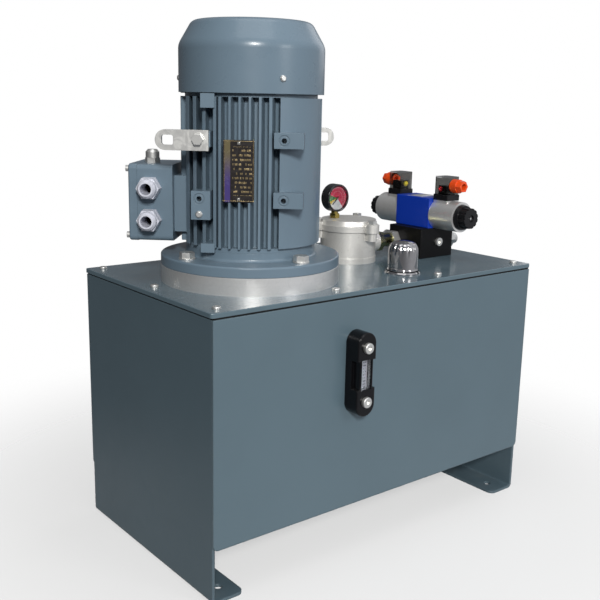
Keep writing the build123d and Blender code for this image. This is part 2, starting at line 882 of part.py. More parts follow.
# ---- terminal box -------------------------------------------------------------------------------
def make_terminal_box():
    """Cast box on the side of the motor, its cover, and two cable glands in the front wall."""
    mid_z = (box_low + box_high) / 2
    height = box_high - box_low
    wall = 4.0
    depth = -box_split_x + box_inner_x
    with BuildPart() as box:
        with BuildSketch(motor_left(0, -box_inner_x, mid_z)):
            RectangleRounded(2 * box_half_y, height, 7)
        extrude(amount=depth)
        with BuildSketch(motor_left(0, -box_inner_x + wall, mid_z)):
            RectangleRounded(2 * box_half_y - 2 * wall, height - 2 * wall, 4)
            with GridLocations(84, 90, 2, 2):
                Circle(6, mode=Mode.SUBTRACT)
        extrude(amount=depth - wall, mode=Mode.SUBTRACT)
        with BuildSketch(motor_left(0, -box_inner_x, 493)):
            Circle(20)
        extrude(amount=wall, mode=Mode.SUBTRACT)
        for z in gland_z:
            with BuildSketch(motor_front(gland_x, box_half_y, z)):
                Circle(10.1)
            extrude(amount=-wall, mode=Mode.SUBTRACT)
    save(box, "terminal_box")

    with BuildPart() as cover:
        with BuildSketch(motor_left(0, -box_split_x, mid_z)):
            RectangleRounded(2 * box_half_y + 1, height + 1, 7)
        extrude(amount=box_split_x - box_outer_x)
        fillet(outer_face_edges(cover, motor_left(0, 0, 0).z_dir), radius=2.5)
        with BuildSketch(motor_left(0, -box_split_x, mid_z)):
            RectangleRounded(2 * box_half_y - 12, height - 12, 4)
            with GridLocations(84, 90, 2, 2):
                Circle(7, mode=Mode.SUBTRACT)
        extrude(amount=8, mode=Mode.SUBTRACT)
    save(cover, "terminal_box_cover")

    with BuildPart() as glands:
        for z in gland_z:
            with BuildSketch(motor_front(gland_x, box_half_y - 8, z)):
                Circle(10)
            extrude(amount=8)
            with BuildSketch(motor_front(gland_x, box_half_y, z)):
                hexagon(28)
            extrude(amount=6)
            with BuildSketch(motor_front(gland_x, box_half_y + 6, z)):
                Circle(12.4)
            extrude(amount=2)
            with BuildSketch(motor_front(gland_x, box_half_y + 8, z)):
                hexagon(28)
            extrude(amount=9, taper=3)
            with BuildSketch(motor_front(gland_x, box_half_y + 17, z)):
                Circle(13.2)
            extrude(amount=6, taper=8)
            with BuildSketch(motor_front(gland_x, box_half_y + 23, z)):
                Circle(12.3)
            extrude(amount=4, taper=35)
            with BuildSketch(motor_front(gland_x, box_half_y - 8, z)):
                Circle(7.6)
            extrude(amount=36, mode=Mode.SUBTRACT)
    save(glands, "cable_glands")


def outer_face_edges(builder, direction):
    """Edges round the face that lies furthest along a direction."""
    return builder.faces().sort_by(Axis((0, 0, 0), direction))[-1].outer_wire().edges()


# ---- coupling and pump --------------------------------------------------------------------------
def jaw_outline(count, start, width):
    """Add sector-shaped jaws to the active sketch."""
    half = math.radians(width / 2)
    for i in range(count):
        middle = math.radians(start + 360 / count * i)
        with BuildLine() as outline:
            Polyline(
                (11 * math.cos(middle - half * 0.7), 11 * math.sin(middle - half * 0.7)),
                (36 * math.cos(middle - half), 36 * math.sin(middle - half)),
                (38 * math.cos(middle), 38 * math.sin(middle)),
                (36 * math.cos(middle + half), 36 * math.sin(middle + half)),
                (11 * math.cos(middle + half * 0.7), 11 * math.sin(middle + half * 0.7)),
                close=True,
            )
        make_face(outline.edges())


def make_coupling():
    """Jaw coupling: a hub on the motor shaft, a hub on the pump shaft and a plastic spider between."""
    with BuildPart() as upper:
        with BuildSketch(motor_plane(motor_hub_low)):
            Circle(coupling_hub_r)
        extrude(amount=motor_hub_height)
        with BuildSketch(motor_plane(motor_jaw_low)):
            jaw_outline(3, 0, 44)
            Circle(coupling_hub_r, mode=Mode.INTERSECT)
        extrude(amount=jaw_height)
        with BuildSketch(motor_plane(motor_jaw_low)):
            Circle(14 + press_gap)
            with Locations((12, 0)):
                Rectangle(10.4, 8.2)
        extrude(amount=motor_hub_height + jaw_height, mode=Mode.SUBTRACT)
    save(upper, "coupling_hub_motor")

    with BuildPart() as lower:
        with BuildSketch(motor_plane(pump_hub_low)):
            Circle(coupling_hub_r)
        extrude(amount=pump_hub_top - pump_hub_low)
        with BuildSketch(motor_plane(pump_hub_top)):
            jaw_outline(3, 60, 44)
            Circle(coupling_hub_r, mode=Mode.INTERSECT)
            Circle(14.2, mode=Mode.SUBTRACT)
        extrude(amount=jaw_height)
        with BuildSketch(motor_plane(pump_hub_low)):
            Circle(pump_shaft_r + press_gap)
        extrude(amount=pump_hub_top - pump_hub_low, mode=Mode.SUBTRACT)
    save(lower, "coupling_hub_pump")

    with BuildPart() as spider:
        with BuildSketch(motor_plane(motor_jaw_low + 0.3)):
            Circle(9)
            for start in (30, 90, 150):
                with Locations(Location((0, 0, 0), (0, 0, start))):
                    Rectangle(2 * (coupling_hub_r - 0.6), 5)
            Circle(coupling_hub_r - 0.6, mode=Mode.INTERSECT)
        extrude(amount=8.4)
    save(spider, "coupling_spider")


def make_pump():
    """Gear pump under the bell: body, end covers, drive gear and driven gear."""
    low = pump_top - pump_cover_h - pump_body_h
    mid_x = motor_x + gear_centres / 2
    driven_x = motor_x + gear_centres

    with BuildPart() as body:
        with BuildSketch(Plane.XY.offset(low)):
            with Locations((mid_x, pump_mid_y)):
                RectangleRounded(pump_length, pump_width, 14)
            with Locations((motor_x, pump_mid_y), (driven_x, pump_mid_y)):
                Circle(gear_tip_r + 0.15, mode=Mode.SUBTRACT)
        extrude(amount=pump_body_h)
        with BuildSketch(Plane.XZ.offset(-pump_mid_y + 37)):
            with Locations((mid_x, low + pump_body_h / 2)):
                Circle(6)
        extrude(amount=-37, mode=Mode.SUBTRACT)
    save(body, "pump_body")

    with BuildPart() as covers:
        with BuildSketch(Plane.XY.offset(low + pump_body_h)):
            with Locations((mid_x, pump_mid_y)):
                RectangleRounded(pump_length, pump_width, 14)
        extrude(amount=pump_cover_h)
        with BuildSketch(Plane.XY.offset(pump_top)):
            with Locations((motor_x, motor_y)):
                Circle(25)
        extrude(amount=8)
        with BuildSketch(Plane.XY.offset(low + pump_body_h)):
            with Locations((motor_x, pump_mid_y)):
                Circle(pump_shaft_r + fit)
        extrude(amount=pump_cover_h + 8, mode=Mode.SUBTRACT)
        with BuildSketch(Plane.XY.offset(low + pump_body_h)):
            with Locations((driven_x, pump_mid_y)):
                Circle(pump_shaft_r + fit)
        extrude(amount=17, mode=Mode.SUBTRACT)
        with BuildSketch(Plane.XY.offset(low)):
            with Locations((mid_x, pump_mid_y)):
                RectangleRounded(pump_length, pump_width, 14)
        extrude(amount=-pump_end_h)
        with BuildSketch(Plane.XY.offset(low)):
            with Locations((motor_x, pump_mid_y), (driven_x, pump_mid_y)):
                Circle(pump_shaft_r + fit)
        extrude(amount=-16, mode=Mode.SUBTRACT)
        with BuildSketch(Plane.XY.offset(low)):
            with Locations((mid_x, pump_mid_y + 24)):
                Circle(8)
        extrude(amount=-pump_end_h, mode=Mode.SUBTRACT)
    save(covers, "pump_covers")

    with BuildPart() as drive:
        with BuildSketch(Plane.XY.offset(low + fit)):
            with Locations((motor_x, pump_mid_y)):
                Circle(gear_root_r + 0.4)
        extrude(amount=pump_body_h - 2 * fit)
        add_teeth(motor_x, low, 0)
        with BuildSketch(Plane.XY.offset(low - 15)):
            with Locations((motor_x, pump_mid_y)):
                Circle(pump_shaft_r)
        extrude(amount=334 - low + 15)
    save(drive, "pump_drive_gear")

    with BuildPart() as driven:
        with BuildSketch(Plane.XY.offset(low + fit)):
            with Locations((driven_x, pump_mid_y)):
                Circle(gear_root_r + 0.4)
        extrude(amount=pump_body_h - 2 * fit)
        add_teeth(driven_x, low, 180 / gear_teeth + 180)
        with BuildSketch(Plane.XY.offset(low - 15)):
            with Locations((driven_x, pump_mid_y)):
                Circle(pump_shaft_r)
        extrude(amount=pump_body_h + 31)
    save(driven, "pump_driven_gear")


def add_teeth(centre_x, low, phase):
    """Add tapered gear teeth round an upright axis to the active part."""
    for i in range(gear_teeth):
        angle = math.radians(phase + 360 / gear_teeth * i)
        outward = (math.cos(angle), math.sin(angle), 0)
        plane = Plane(origin=(centre_x, pump_mid_y, low + fit), x_dir=outward, z_dir=(0, 0, 1))
        with BuildSketch(plane) as tooth:
            with BuildLine():
                Polyline(
                    (gear_root_r - 1, -tooth_root / 2),
                    (gear_tip_r, -tooth_tip / 2),
                    (gear_tip_r, tooth_tip / 2),
                    (gear_root_r - 1, tooth_root / 2),
                    close=True,
                )
            make_face()
        extrude(tooth.sketch, amount=pump_body_h - 2 * fit)


def make_pump_tubes():
    """Suction tube down to the strainer, and the steel pressure tube up to the manifold."""
    low = pump_top - pump_cover_h - pump_body_h
    mid_x = motor_x + gear_centres / 2
    tube_z = low + pump_body_h / 2
    front = pump_mid_y - 37
    run_y = front - 40
    with BuildPart() as tubes:
        with BuildSketch(Plane.XY.offset(low - pump_end_h)):
            with Locations((mid_x, pump_mid_y + 24)):
                Circle(12)
                Circle(9, mode=Mode.SUBTRACT)
        extrude(amount=-38)
        with BuildLine() as path:
            FilletPolyline(
                (mid_x, front, tube_z),
                (mid_x, run_y, tube_z),
                (block_x, run_y, tube_z),
                (block_x, block_y, tube_z),
                (block_x, block_y, lid_top),
                radius=24,
            )
        with BuildSketch(Plane(origin=(mid_x, front, tube_z), x_dir=(1, 0, 0), z_dir=(0, -1, 0))):
            Circle(8)
            Circle(6, mode=Mode.SUBTRACT)
        sweep(path=path.wires()[0])
    save(tubes, "pump_tubes")


def make_strainer():
    """Suction strainer: a mesh cup with a top cap round the suction tube."""
    low = pump_top - pump_cover_h - pump_body_h
    mid_x = motor_x + gear_centres / 2
    top = low - pump_end_h - 38
    with BuildPart() as strainer:
        with BuildSketch(Plane.XY.offset(95)):
            with Locations((mid_x, pump_mid_y + 24)):
                Circle(36)
        extrude(amount=top - 95)
        with BuildSketch(Plane.XY.offset(98)):
            with Locations((mid_x, pump_mid_y + 24)):
                Circle(33)
        extrude(amount=top - 95 - 9, mode=Mode.SUBTRACT)
        with BuildSketch(Plane.XY.offset(top - 7)):
            with Locations((mid_x, pump_mid_y + 24)):
                Circle(9)
        extrude(amount=8, mode=Mode.SUBTRACT)
    save(strainer, "suction_strainer")


# ---- return filter ------------------------------------------------------------------------------
def make_filter():
    """Return filter: cast head with its bowl in the tank, screwed cover and pleated element."""
    with BuildPart() as head:
        with BuildSketch(Plane.XY.offset(lid_top)):
            with Locations((filter_x, filter_y)):
                Circle(filter_r + 0.8)
        extrude(amount=filter_flange_top - lid_top)
        with BuildSketch(Plane.XY.offset(filter_flange_top)):
            with Locations((filter_x, filter_y)):
                Circle(filter_r)
        extrude(amount=filter_joint - filter_flange_top)
        with BuildSketch(Plane.XY.offset(filter_joint - 12)):
            with Locations(*filter_ears):
                Circle(8)
            for point in filter_ears:
                with BuildLine():
                    Line((filter_x, filter_y), point)
                    offset(amount=6)
                make_face()
        extrude(amount=12)
        with BuildSketch(Plane.YZ.offset(filter_x)):
            with Locations((filter_y, port_z)):
                Circle(16)
        extrude(amount=filter_r + 14)
        with BuildSketch(Plane.XY.offset(215)):
            with Locations((filter_x, filter_y)):
                Circle(36)
        extrude(amount=lid_top - 215)
        with BuildSketch(Plane.XY.offset(218)):
            with Locations((filter_x, filter_y)):
                Circle(33.5)
        extrude(amount=filter_joint - 218, mode=Mode.SUBTRACT)
        with BuildSketch(Plane.XY.offset(lid_top + 5)):
            with Locations((filter_x, filter_y)):
                Circle(37.5)
        extrude(amount=filter_joint - lid_top - 5, mode=Mode.SUBTRACT)
        with BuildSketch(Plane.YZ.offset(filter_x)):
            with Locations((filter_y, port_z)):
                Circle(9)
        extrude(amount=filter_r + 14, mode=Mode.SUBTRACT)
        with BuildSketch(Plane.XY.offset(215)):
            with Locations((filter_x, filter_y)):
                Circle(14)
        extrude(amount=3, mode=Mode.SUBTRACT)
        with BuildSketch(Plane.XY.offset(filter_joint - 11)):
            with Locations(*filter_ears):
                Circle(4)
        extrude(amount=11, mode=Mode.SUBTRACT)
    save(head, "filter_head")

    with BuildPart() as cover:
        with BuildSketch(Plane.XY.offset(filter_joint + 0.5)):
            with Locations((filter_x, filter_y)):
                Circle(filter_r + 2)
        extrude(amount=9.5)
        with BuildSketch(Plane.XY.offset(filter_joint + 10)):
            with Locations((filter_x, filter_y)):
                Circle(filter_r + 1)
        extrude(amount=filter_cover_top - filter_joint - 10, taper=14)
        with BuildSketch(Plane.XY.offset(filter_joint + 0.5)):
            with Locations(*filter_ears):
                Circle(11)
            for point in filter_ears:
                with BuildLine():
                    Line((filter_x, filter_y), point)
                    offset(amount=9)
                make_face()
        extrude(amount=filter_cover_top - 4 - filter_joint - 0.5)
        with BuildSketch(Plane.XY.offset(filter_joint - 6)):
            with Locations((filter_x, filter_y)):
                Circle(37.2)
        extrude(amount=6.5)
        with BuildSketch(Plane.XY.offset(filter_joint - 6)):
            with Locations((filter_x, filter_y)):
                Circle(31)
        extrude(amount=12, mode=Mode.SUBTRACT)
        with BuildSketch(Plane.XY.offset(filter_joint)):
            with Locations(*filter_ears):
                Circle(4)
        extrude(amount=20, mode=Mode.SUBTRACT)
        with BuildSketch(Plane.XY.offset(filter_cover_top - 8)):
            with Locations((gauge_x, gauge_y)):
                Circle(4.1)
        extrude(amount=9, mode=Mode.SUBTRACT)
    save(cover, "filter_cover")

    with BuildPart() as element:
        with BuildSketch(Plane.XY.offset(222)):
            with Locations((filter_x, filter_y)):
                Circle(30)
                Circle(16, mode=Mode.SUBTRACT)
        extrude(amount=205)
    save(element, "filter_element")


def make_clogging_gauge():
    """Round clogging gauge on the filter cover, its dial facing the front, with a needle."""
    front = -gauge_y + gauge_depth / 2
    with BuildPart() as case:
        with BuildSketch(Plane.XZ.offset(front - gauge_depth)):
            with Locations((gauge_x, gauge_z)):
                Circle(gauge_r)
        extrude(amount=gauge_depth)
        fillet(case.edges().filter_by(GeomType.CIRCLE), radius=1.5)
        with BuildSketch(Plane.XZ.offset(front)):
            with Locations((gauge_x, gauge_z)):
                Circle(gauge_r - 2.6)
        extrude(amount=-5, mode=Mode.SUBTRACT)
        with BuildSketch(Plane.XY.offset(filter_cover_top)):
            with Locations((gauge_x, gauge_y)):
                Circle(5.5)
        extrude(amount=gauge_z - gauge_r + 2 - filter_cover_top)
        with BuildSketch(Plane.XY.offset(filter_cover_top + 0.5)):
            with Locations((gauge_x, gauge_y)):
                hexagon(14)
        extrude(amount=6.5)
        with BuildSketch(Plane.XY.offset(filter_cover_top - 7)):
            with Locations((gauge_x, gauge_y)):
                Circle(4)
        extrude(amount=7)
    save(case, "clogging_gauge_case")

    with BuildPart() as dial:
        with BuildSketch(Plane.XZ.offset(front - 4.9)):
            with Locations((gauge_x, gauge_z)):
                Circle(gauge_r - 3)
        extrude(amount=1)
        with BuildSketch(Plane.XZ.offset(front - 3.9)):
            with Locations((gauge_x, gauge_z)):
                Circle(1)
        extrude(amount=2.2)
    save(dial, "clogging_gauge_dial")

    with BuildPart() as needle:
        with BuildSketch(Plane.XZ.offset(front - 3.2)):
            with Locations((gauge_x, gauge_z)):
                Circle(2)
            with BuildLine():
                Polyline(
                    (gauge_x + 2.5, gauge_z + 1.1),
                    (gauge_x - 9.6, gauge_z - 10.2),
                    (gauge_x - 10.2, gauge_z - 9.6),
                    (gauge_x + 1.1, gauge_z + 2.5),
                    close=True,
                )
            make_face()
            with Locations((gauge_x, gauge_z)):
                Circle(1.08, mode=Mode.SUBTRACT)
        extrude(amount=0.8)
    save(needle, "clogging_gauge_needle")


# ---- breather -----------------------------------------------------------------------------------
def make_breather():
    """Filler breather: flange with neck and basket, and a chromed bell cap with a bayonet."""
    axis = Axis((breather_x, breather_y, 0), (0, 0, 1))
    with BuildPart() as base:
        with BuildSketch(Plane.XZ.offset(-breather_y)):
            with BuildLine():
                Polyline(
                    (breather_x + 13, 336),
                    (breather_x + 15.5, 336),
                    (breather_x + 15.5, lid_top),
                    (breather_x + breather_flange_r, lid_top),
                    (breather_x + breather_flange_r, lid_top + 1.6),
                    (breather_x + 24, lid_top + 3.4),
                    (breather_x + 15.5, lid_top + 3.4),
                    (breather_x + 15.5, lid_top + 16),
                    (breather_x + 13, lid_top + 16),
                    close=True,
                )
            make_face()
        revolve(axis=axis)
        with BuildSketch(Plane.XY.offset(336)):
            with Locations((breather_x, breather_y)):
                Circle(13)
        extrude(amount=1.5)
    save(base, "breather_base")

    cap_low = lid_top + 4.2
    with BuildPart() as cap:
        for inset, mode in ((0, Mode.ADD), (1.8, Mode.SUBTRACT)):
            low = cap_low - inset
            side_r = 22.5 - inset
            with BuildSketch(Plane.XZ.offset(-breather_y)):
                with BuildLine():
                    Polyline(
                        (breather_x, lid_top + 48.6 - inset),
                        (breather_x, low),
                        (breather_x + side_r, low),
                        (breather_x + side_r, lid_top + 32),
                    )
                    Spline(
                        (breather_x + side_r, lid_top + 32),
                        (breather_x + side_r - 2.2, lid_top + 40 - 0.6 * inset),
                        (breather_x + side_r - 8.5, lid_top + 45.6 - inset),
                        (breather_x, lid_top + 48.6 - inset),
                        tangents=[(0, 1), (-1, 0)],
                    )
                make_face()
            revolve(axis=axis, mode=mode)
        with BuildSketch(Plane.XY.offset(cap_low)):
            with Locations((breather_x, breather_y)):
                Circle(23.6)
                Circle(16.2, mode=Mode.SUBTRACT)
        extrude(amount=2.2)
    save(cap, "breather_cap")


# ---- manifold and valve -------------------------------------------------------------------------
def along_x(x, y, z):
    """Plane at a point, facing +X."""
    return Plane(origin=(x, y, z), x_dir=(0, 1, 0), z_dir=(1, 0, 0))


def along_y(x, y, z):
    """Plane at a point, facing +Y."""
    return Plane(origin=(x, y, z), x_dir=(-1, 0, 0), z_dir=(0, 1, 0))


port_a_y = block_y - 21.0
port_b_y = block_y + 21.0
relief_x = block_x - 15.0
plug_x = block_x + 3.0


def make_manifold():
    """Drilled manifold block on the lid, which the valve sits on."""
    right = block_x + block_size_x / 2
    left = block_x - block_size_x / 2
    front = block_y - block_size_y / 2
    back = block_y + block_size_y / 2
    with BuildPart() as block:
        with BuildSketch(Plane.XY.offset(lid_top)):
            with Locations((block_x, block_y)):
                Rectangle(block_size_x, block_size_y)
        extrude(amount=block_top - lid_top)
        chamfer(block.edges(), length=0.8)
        for y in (port_a_y, port_b_y):
            with BuildSketch(along_x(right, y, port_z)):
                Circle(8.1)
            extrude(amount=-14, mode=Mode.SUBTRACT)
        with BuildSketch(along_x(left, filter_y, port_z)):
            Circle(8.1)
        extrude(amount=14, mode=Mode.SUBTRACT)
        with BuildSketch(along_y(plug_x, front, port_z)):
            Circle(5.1)
        extrude(amount=12, mode=Mode.SUBTRACT)
        with BuildSketch(along_y(relief_x, back, port_z)):
            Circle(8.1)
        extrude(amount=-20, mode=Mode.SUBTRACT)
        with BuildSketch(Plane.XY.offset(lid_top)):
            with Locations((block_x, block_y)):
                Circle(6)
        extrude(amount=20, mode=Mode.SUBTRACT)
        with BuildSketch(Plane.XY.offset(block_top)):
            with Locations(*valve_screws):
                Circle(2.6)
        extrude(amount=-10, mode=Mode.SUBTRACT)
    save(block, "manifold_block")

    with BuildPart() as fittings:
        for y in (port_a_y, port_b_y):
            with BuildSketch(along_x(right - 11, y, port_z)):
                Circle(8)
            extrude(amount=11)
            with BuildSketch(along_x(right, y, port_z)):
                hexagon(24)
            extrude(amount=10)
            with BuildSketch(along_x(right + 10, y, port_z)):
                Circle(9)
            extrude(amount=11)
            with BuildSketch(along_x(right - 11, y, port_z)):
                Circle(5)
            extrude(amount=32, mode=Mode.SUBTRACT)
        with BuildSketch(along_x(left - 13, filter_y, port_z)):
            hexagon(26)
        extrude(amount=13)
        with BuildSketch(along_x(left, filter_y, port_z)):
            Circle(8)
        extrude(amount=11)
        with BuildSketch(along_x(left - 13, filter_y, port_z)):
            Circle(6)
        extrude(amount=24, mode=Mode.SUBTRACT)
        with BuildSketch(along_y(plug_x, front - 4, port_z)):
            Circle(6.8)
        extrude(amount=4)
        with BuildSketch(along_y(plug_x, front - 4, port_z)):
            hexagon(6)
        extrude(amount=3, mode=Mode.SUBTRACT)
        with BuildSketch(along_y(plug_x, front, port_z)):
            Circle(5)
        extrude(amount=9)
        with BuildSketch(along_y(relief_x, back - 18, port_z)):
            Circle(8)
        extrude(amount=18)
        with BuildSketch(along_y(relief_x, back, port_z)):
            hexagon(24)
        extrude(amount=14)
        with BuildSketch(along_y(relief_x, back + 14, port_z)):
            Circle(8.5)
        extrude(amount=16)
        with BuildSketch(along_y(relief_x, back + 12, port_z)):
            Circle(3.1)
        extrude(amount=18, mode=Mode.SUBTRACT)
    save(fittings, "manifold_fittings")

    with BuildPart() as adjuster:
        with BuildSketch(along_y(relief_x, back + 14, port_z)):
            Circle(3)
        extrude(amount=26)
        with BuildSketch(along_y(relief_x, back + 30.4, port_z)):
            hexagon(10)
        extrude(amount=4)
        with BuildSketch(along_y(relief_x, back + 40, port_z)):
            Rectangle(0.9, 6.4)
        extrude(amount=-1.4, mode=Mode.SUBTRACT)
    save(adjuster, "relief_screw")

    with BuildPart() as pipe:
        start = filter_x + filter_r + 14
        with BuildSketch(along_x(start, filter_y, port_z)):
            hexagon(30)
        extrude(amount=10)
        with BuildSketch(along_x(start + 10, filter_y, port_z)):
            Circle(11)
        extrude(amount=left - 13 - start - 10)
        with BuildSketch(along_x(start, filter_y, port_z)):
            Circle(7.5)
        extrude(amount=left - 13 - start, mode=Mode.SUBTRACT)
    save(pipe, "return_pipe")


def make_valve():
    """Directional valve: body, sliding spool with its armatures and override pins."""
    half = valve_length / 2
    with BuildPart() as body:
        with BuildSketch(Plane.XY.offset(block_top)):
            with Locations((block_x, block_y)):
                Rectangle(valve_width, valve_length)
        extrude(amount=valve_top - block_top)
        fillet(body.edges().filter_by(Axis.Y), radius=1.5)
        with BuildSketch(along_y(block_x, block_y - half, spool_z)):
            Circle(spool_r + fit)
        extrude(amount=valve_length, mode=Mode.SUBTRACT)
        with BuildSketch(Plane.XY.offset(block_top)):
            with Locations(*valve_screws):
                Circle(2.6)
        extrude(amount=valve_top - block_top, mode=Mode.SUBTRACT)
        with BuildSketch(Plane.XY.offset(valve_top)):
            with Locations(*valve_screws):
                Circle(4.4)
        extrude(amount=-5, mode=Mode.SUBTRACT)
    save(body, "valve_body")

    with BuildPart() as spool:
        with BuildSketch(along_y(block_x, block_y - half - 5, spool_z)):
            Circle(3)
        extrude(amount=valve_length + 10)
        for start, length in ((-32, 12), (-10, 20), (20, 12)):
            with BuildSketch(along_y(block_x, block_y + start, spool_z)):
                Circle(spool_r)
            extrude(amount=length)
        for side in (-1, 1):
            with BuildSketch(along_y(block_x, block_y + side * (half + 5), spool_z)):
                Circle(armature_r)
            extrude(amount=side * 32)
            with BuildSketch(along_y(block_x, block_y + side * (half + 37), spool_z)):
                Circle(2)
            extrude(amount=side * (coil_length + knob_length - 37 - 1))
    save(spool, "valve_spool")


def make_solenoids():
    """Coils on their tubes, the ribbed nuts that hold them, and the plug connectors on top."""
    half = valve_length / 2
    with BuildPart() as coils:
        for side in (-1, 1):
            start = block_y + side * half
            with BuildSketch(along_y(block_x, start, spool_z)):
                Circle(tube_r)
                Circle(armature_r + fit, mode=Mode.SUBTRACT)
            extrude(amount=side * (coil_length + 8))
            with BuildSketch(along_y(block_x, start + side * (coil_length + 8), spool_z)):
                Circle(tube_r)
                Circle(2.2, mode=Mode.SUBTRACT)
            extrude(amount=side * 3)
            with BuildSketch(along_y(block_x, start + side * 0.4, spool_z)):
                Circle(coil_r)
                Circle(tube_r + 0.1, mode=Mode.SUBTRACT)
            extrude(amount=side * (coil_length - 0.4))
            pad_y = block_y + side * connector_offset
            with BuildSketch(Plane.XY.offset(spool_z + 18)):
                with Locations((block_x, pad_y)):
                    Rectangle(connector_size, connector_size)
            extrude(amount=connector_base_top - 9 - spool_z - 18)
    save(coils, "solenoid_coils")

    with BuildPart() as nuts:
        for side in (-1, 1):
            start = block_y + side * (half + coil_length)
            with BuildSketch(along_y(block_x, start, spool_z)):
                Circle(20.5)
            extrude(amount=side * 7, taper=12)
            with BuildSketch(along_y(block_x, start + side * 7, spool_z)):
                Circle(17)
                with PolarLocations(17.4, 12):
                    Circle(1.6, mode=Mode.SUBTRACT)
            extrude(amount=side * (knob_length - 7), taper=4)
            with BuildSketch(along_y(block_x, start, spool_z)):
                Circle(tube_r + 0.1)
            extrude(amount=side * 11.3, mode=Mode.SUBTRACT)
            with BuildSketch(along_y(block_x, start, spool_z)):
                Circle(2.2)
            extrude(amount=side * knob_length, mode=Mode.SUBTRACT)
            with BuildSketch(along_y(block_x, start + side * knob_length, spool_z)):
                Circle(6)
            extrude(amount=-side * 2, mode=Mode.SUBTRACT)
    save(nuts, "coil_nuts")

    with BuildPart() as bases:
        for side in (-1, 1):
            with BuildSketch(Plane.XY.offset(connector_base_top - 9)):
                with Locations((block_x, block_y + side * connector_offset)):
                    RectangleRounded(connector_size + 1, connector_size + 3, 2)
            extrude(amount=9)
            with BuildSketch(Plane.XY.offset(connector_base_top)):
                with Locations((block_x, block_y + side * connector_offset)):
                    RectangleRounded(19, 19, 2)
            extrude(amount=14)
    save(bases, "connector_bases")

    with BuildPart() as covers:
        for side in (-1, 1):
            mid_y = block_y + side * connector_offset
            with BuildSketch(Plane.XY.offset(connector_base_top)):
                with Locations((block_x, mid_y)):
                    RectangleRounded(connector_size, connector_size + 2, 5)
            extrude(amount=connector_top - connector_base_top)
            with BuildSketch(Plane.XY.offset(connector_base_top)):
                with Locations((block_x, mid_y)):
                    RectangleRounded(connector_size - 4, connector_size - 2, 3.2)
            extrude(amount=connector_top - connector_base_top - 2, mode=Mode.SUBTRACT)
            wall_y = mid_y + side * (connector_size / 2 + 1)
            with BuildSketch(along_y(block_x, wall_y - side * 2, connector_gland_z)):
                Circle(8.2)
            extrude(amount=side * 3, mode=Mode.SUBTRACT)
    save(covers, "connector_covers")

    with BuildPart() as glands:
        for side in (-1, 1):
            wall_y = block_y + side * (connector_offset + connector_size / 2 + 1)
            with BuildSketch(along_y(block_x, wall_y - side * 4, connector_gland_z)):
                Circle(8)
            extrude(amount=side * 4)
            with BuildSketch(along_y(block_x, wall_y, connector_gland_z)):
                Circle(11)
            extrude(amount=side * 12)
            with BuildSketch(along_y(block_x, wall_y + side * 12, connector_gland_z)):
                hexagon(19)
            extrude(amount=side * 9, taper=10)
            with BuildSketch(along_y(block_x, wall_y - side * 4, connector_gland_z)):
                Circle(5)
            extrude(amount=side * 26, mode=Mode.SUBTRACT)
    save(glands, "connector_glands")


make_end_plate("end_plate_left", -1)
make_end_plate("end_plate_right", 1)
make_panel("front_panel", -1)
make_panel("rear_panel", 1)
make_tank_bottom()
make_baffle()
make_lid_rim()
make_lid_gasket()
make_lid()
make_machine_screws()
make_drain_plug()
make_level_gauge()
make_bellhousing()
make_motor_flange()
make_motor_housing()
make_rear_end_shield()
make_fan_cover()
make_motor_bolts()
make_stator()
make_motor_bearings()
make_lifting_lugs()
make_nameplate()
make_motor_shaft()
make_rotor_core()
make_fan()
make_terminal_box()
make_coupling()
make_pump()
make_pump_tubes()
make_strainer()
make_filter()
make_clogging_gauge()
make_breather()
make_manifold()
make_valve()
make_solenoids()
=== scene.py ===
import json
import math

import bmesh
import bpy
import numpy as np
from mathutils import Matrix, Vector


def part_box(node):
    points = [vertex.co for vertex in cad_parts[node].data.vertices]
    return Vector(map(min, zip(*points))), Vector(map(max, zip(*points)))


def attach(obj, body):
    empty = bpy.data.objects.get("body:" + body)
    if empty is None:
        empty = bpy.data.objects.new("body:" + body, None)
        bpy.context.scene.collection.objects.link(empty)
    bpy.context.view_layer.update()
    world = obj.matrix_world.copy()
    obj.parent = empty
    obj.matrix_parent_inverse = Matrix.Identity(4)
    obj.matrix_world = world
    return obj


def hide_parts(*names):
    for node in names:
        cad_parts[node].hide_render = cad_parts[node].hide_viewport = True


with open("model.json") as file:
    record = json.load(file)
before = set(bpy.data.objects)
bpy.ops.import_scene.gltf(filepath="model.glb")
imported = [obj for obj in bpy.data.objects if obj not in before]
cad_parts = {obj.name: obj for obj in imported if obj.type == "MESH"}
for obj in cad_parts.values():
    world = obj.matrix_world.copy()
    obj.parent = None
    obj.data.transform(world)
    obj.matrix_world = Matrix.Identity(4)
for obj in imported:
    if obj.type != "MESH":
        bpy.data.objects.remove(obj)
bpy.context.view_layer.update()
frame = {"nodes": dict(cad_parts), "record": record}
print("frame loaded:", len(frame["nodes"]), "CAD nodes")

# Camera: stands left of the tank's front corner, a little above the lid, tilted by about a degree.
cameraView = {
    "place": (-0.851961, -1.021246, 0.636897),
    "looking": (0.61396614, 0.75832914, -0.21904906),
    "tilt": 1.2342,
    "lens": 52.813,
    "sideShift": -0.006375,
    "upShift": -0.00764,
}


def makeCamera(view):
    data = bpy.data.cameras.new("camera")
    camera = bpy.data.objects.new("camera", data)
    bpy.context.scene.collection.objects.link(camera)
    turn = Vector(view["looking"]).to_track_quat("-Z", "Y").to_matrix().to_4x4()
    roll = Matrix.Rotation(math.radians(view["tilt"]), 4, "Z")
    camera.matrix_world = Matrix.Translation(view["place"]) @ turn @ roll
    data.lens = view["lens"]
    data.shift_x = view["sideShift"]
    data.shift_y = view["upShift"]
    data.clip_start = 0.05
    bpy.context.scene.camera = camera
    return camera


camera = makeCamera(cameraView)


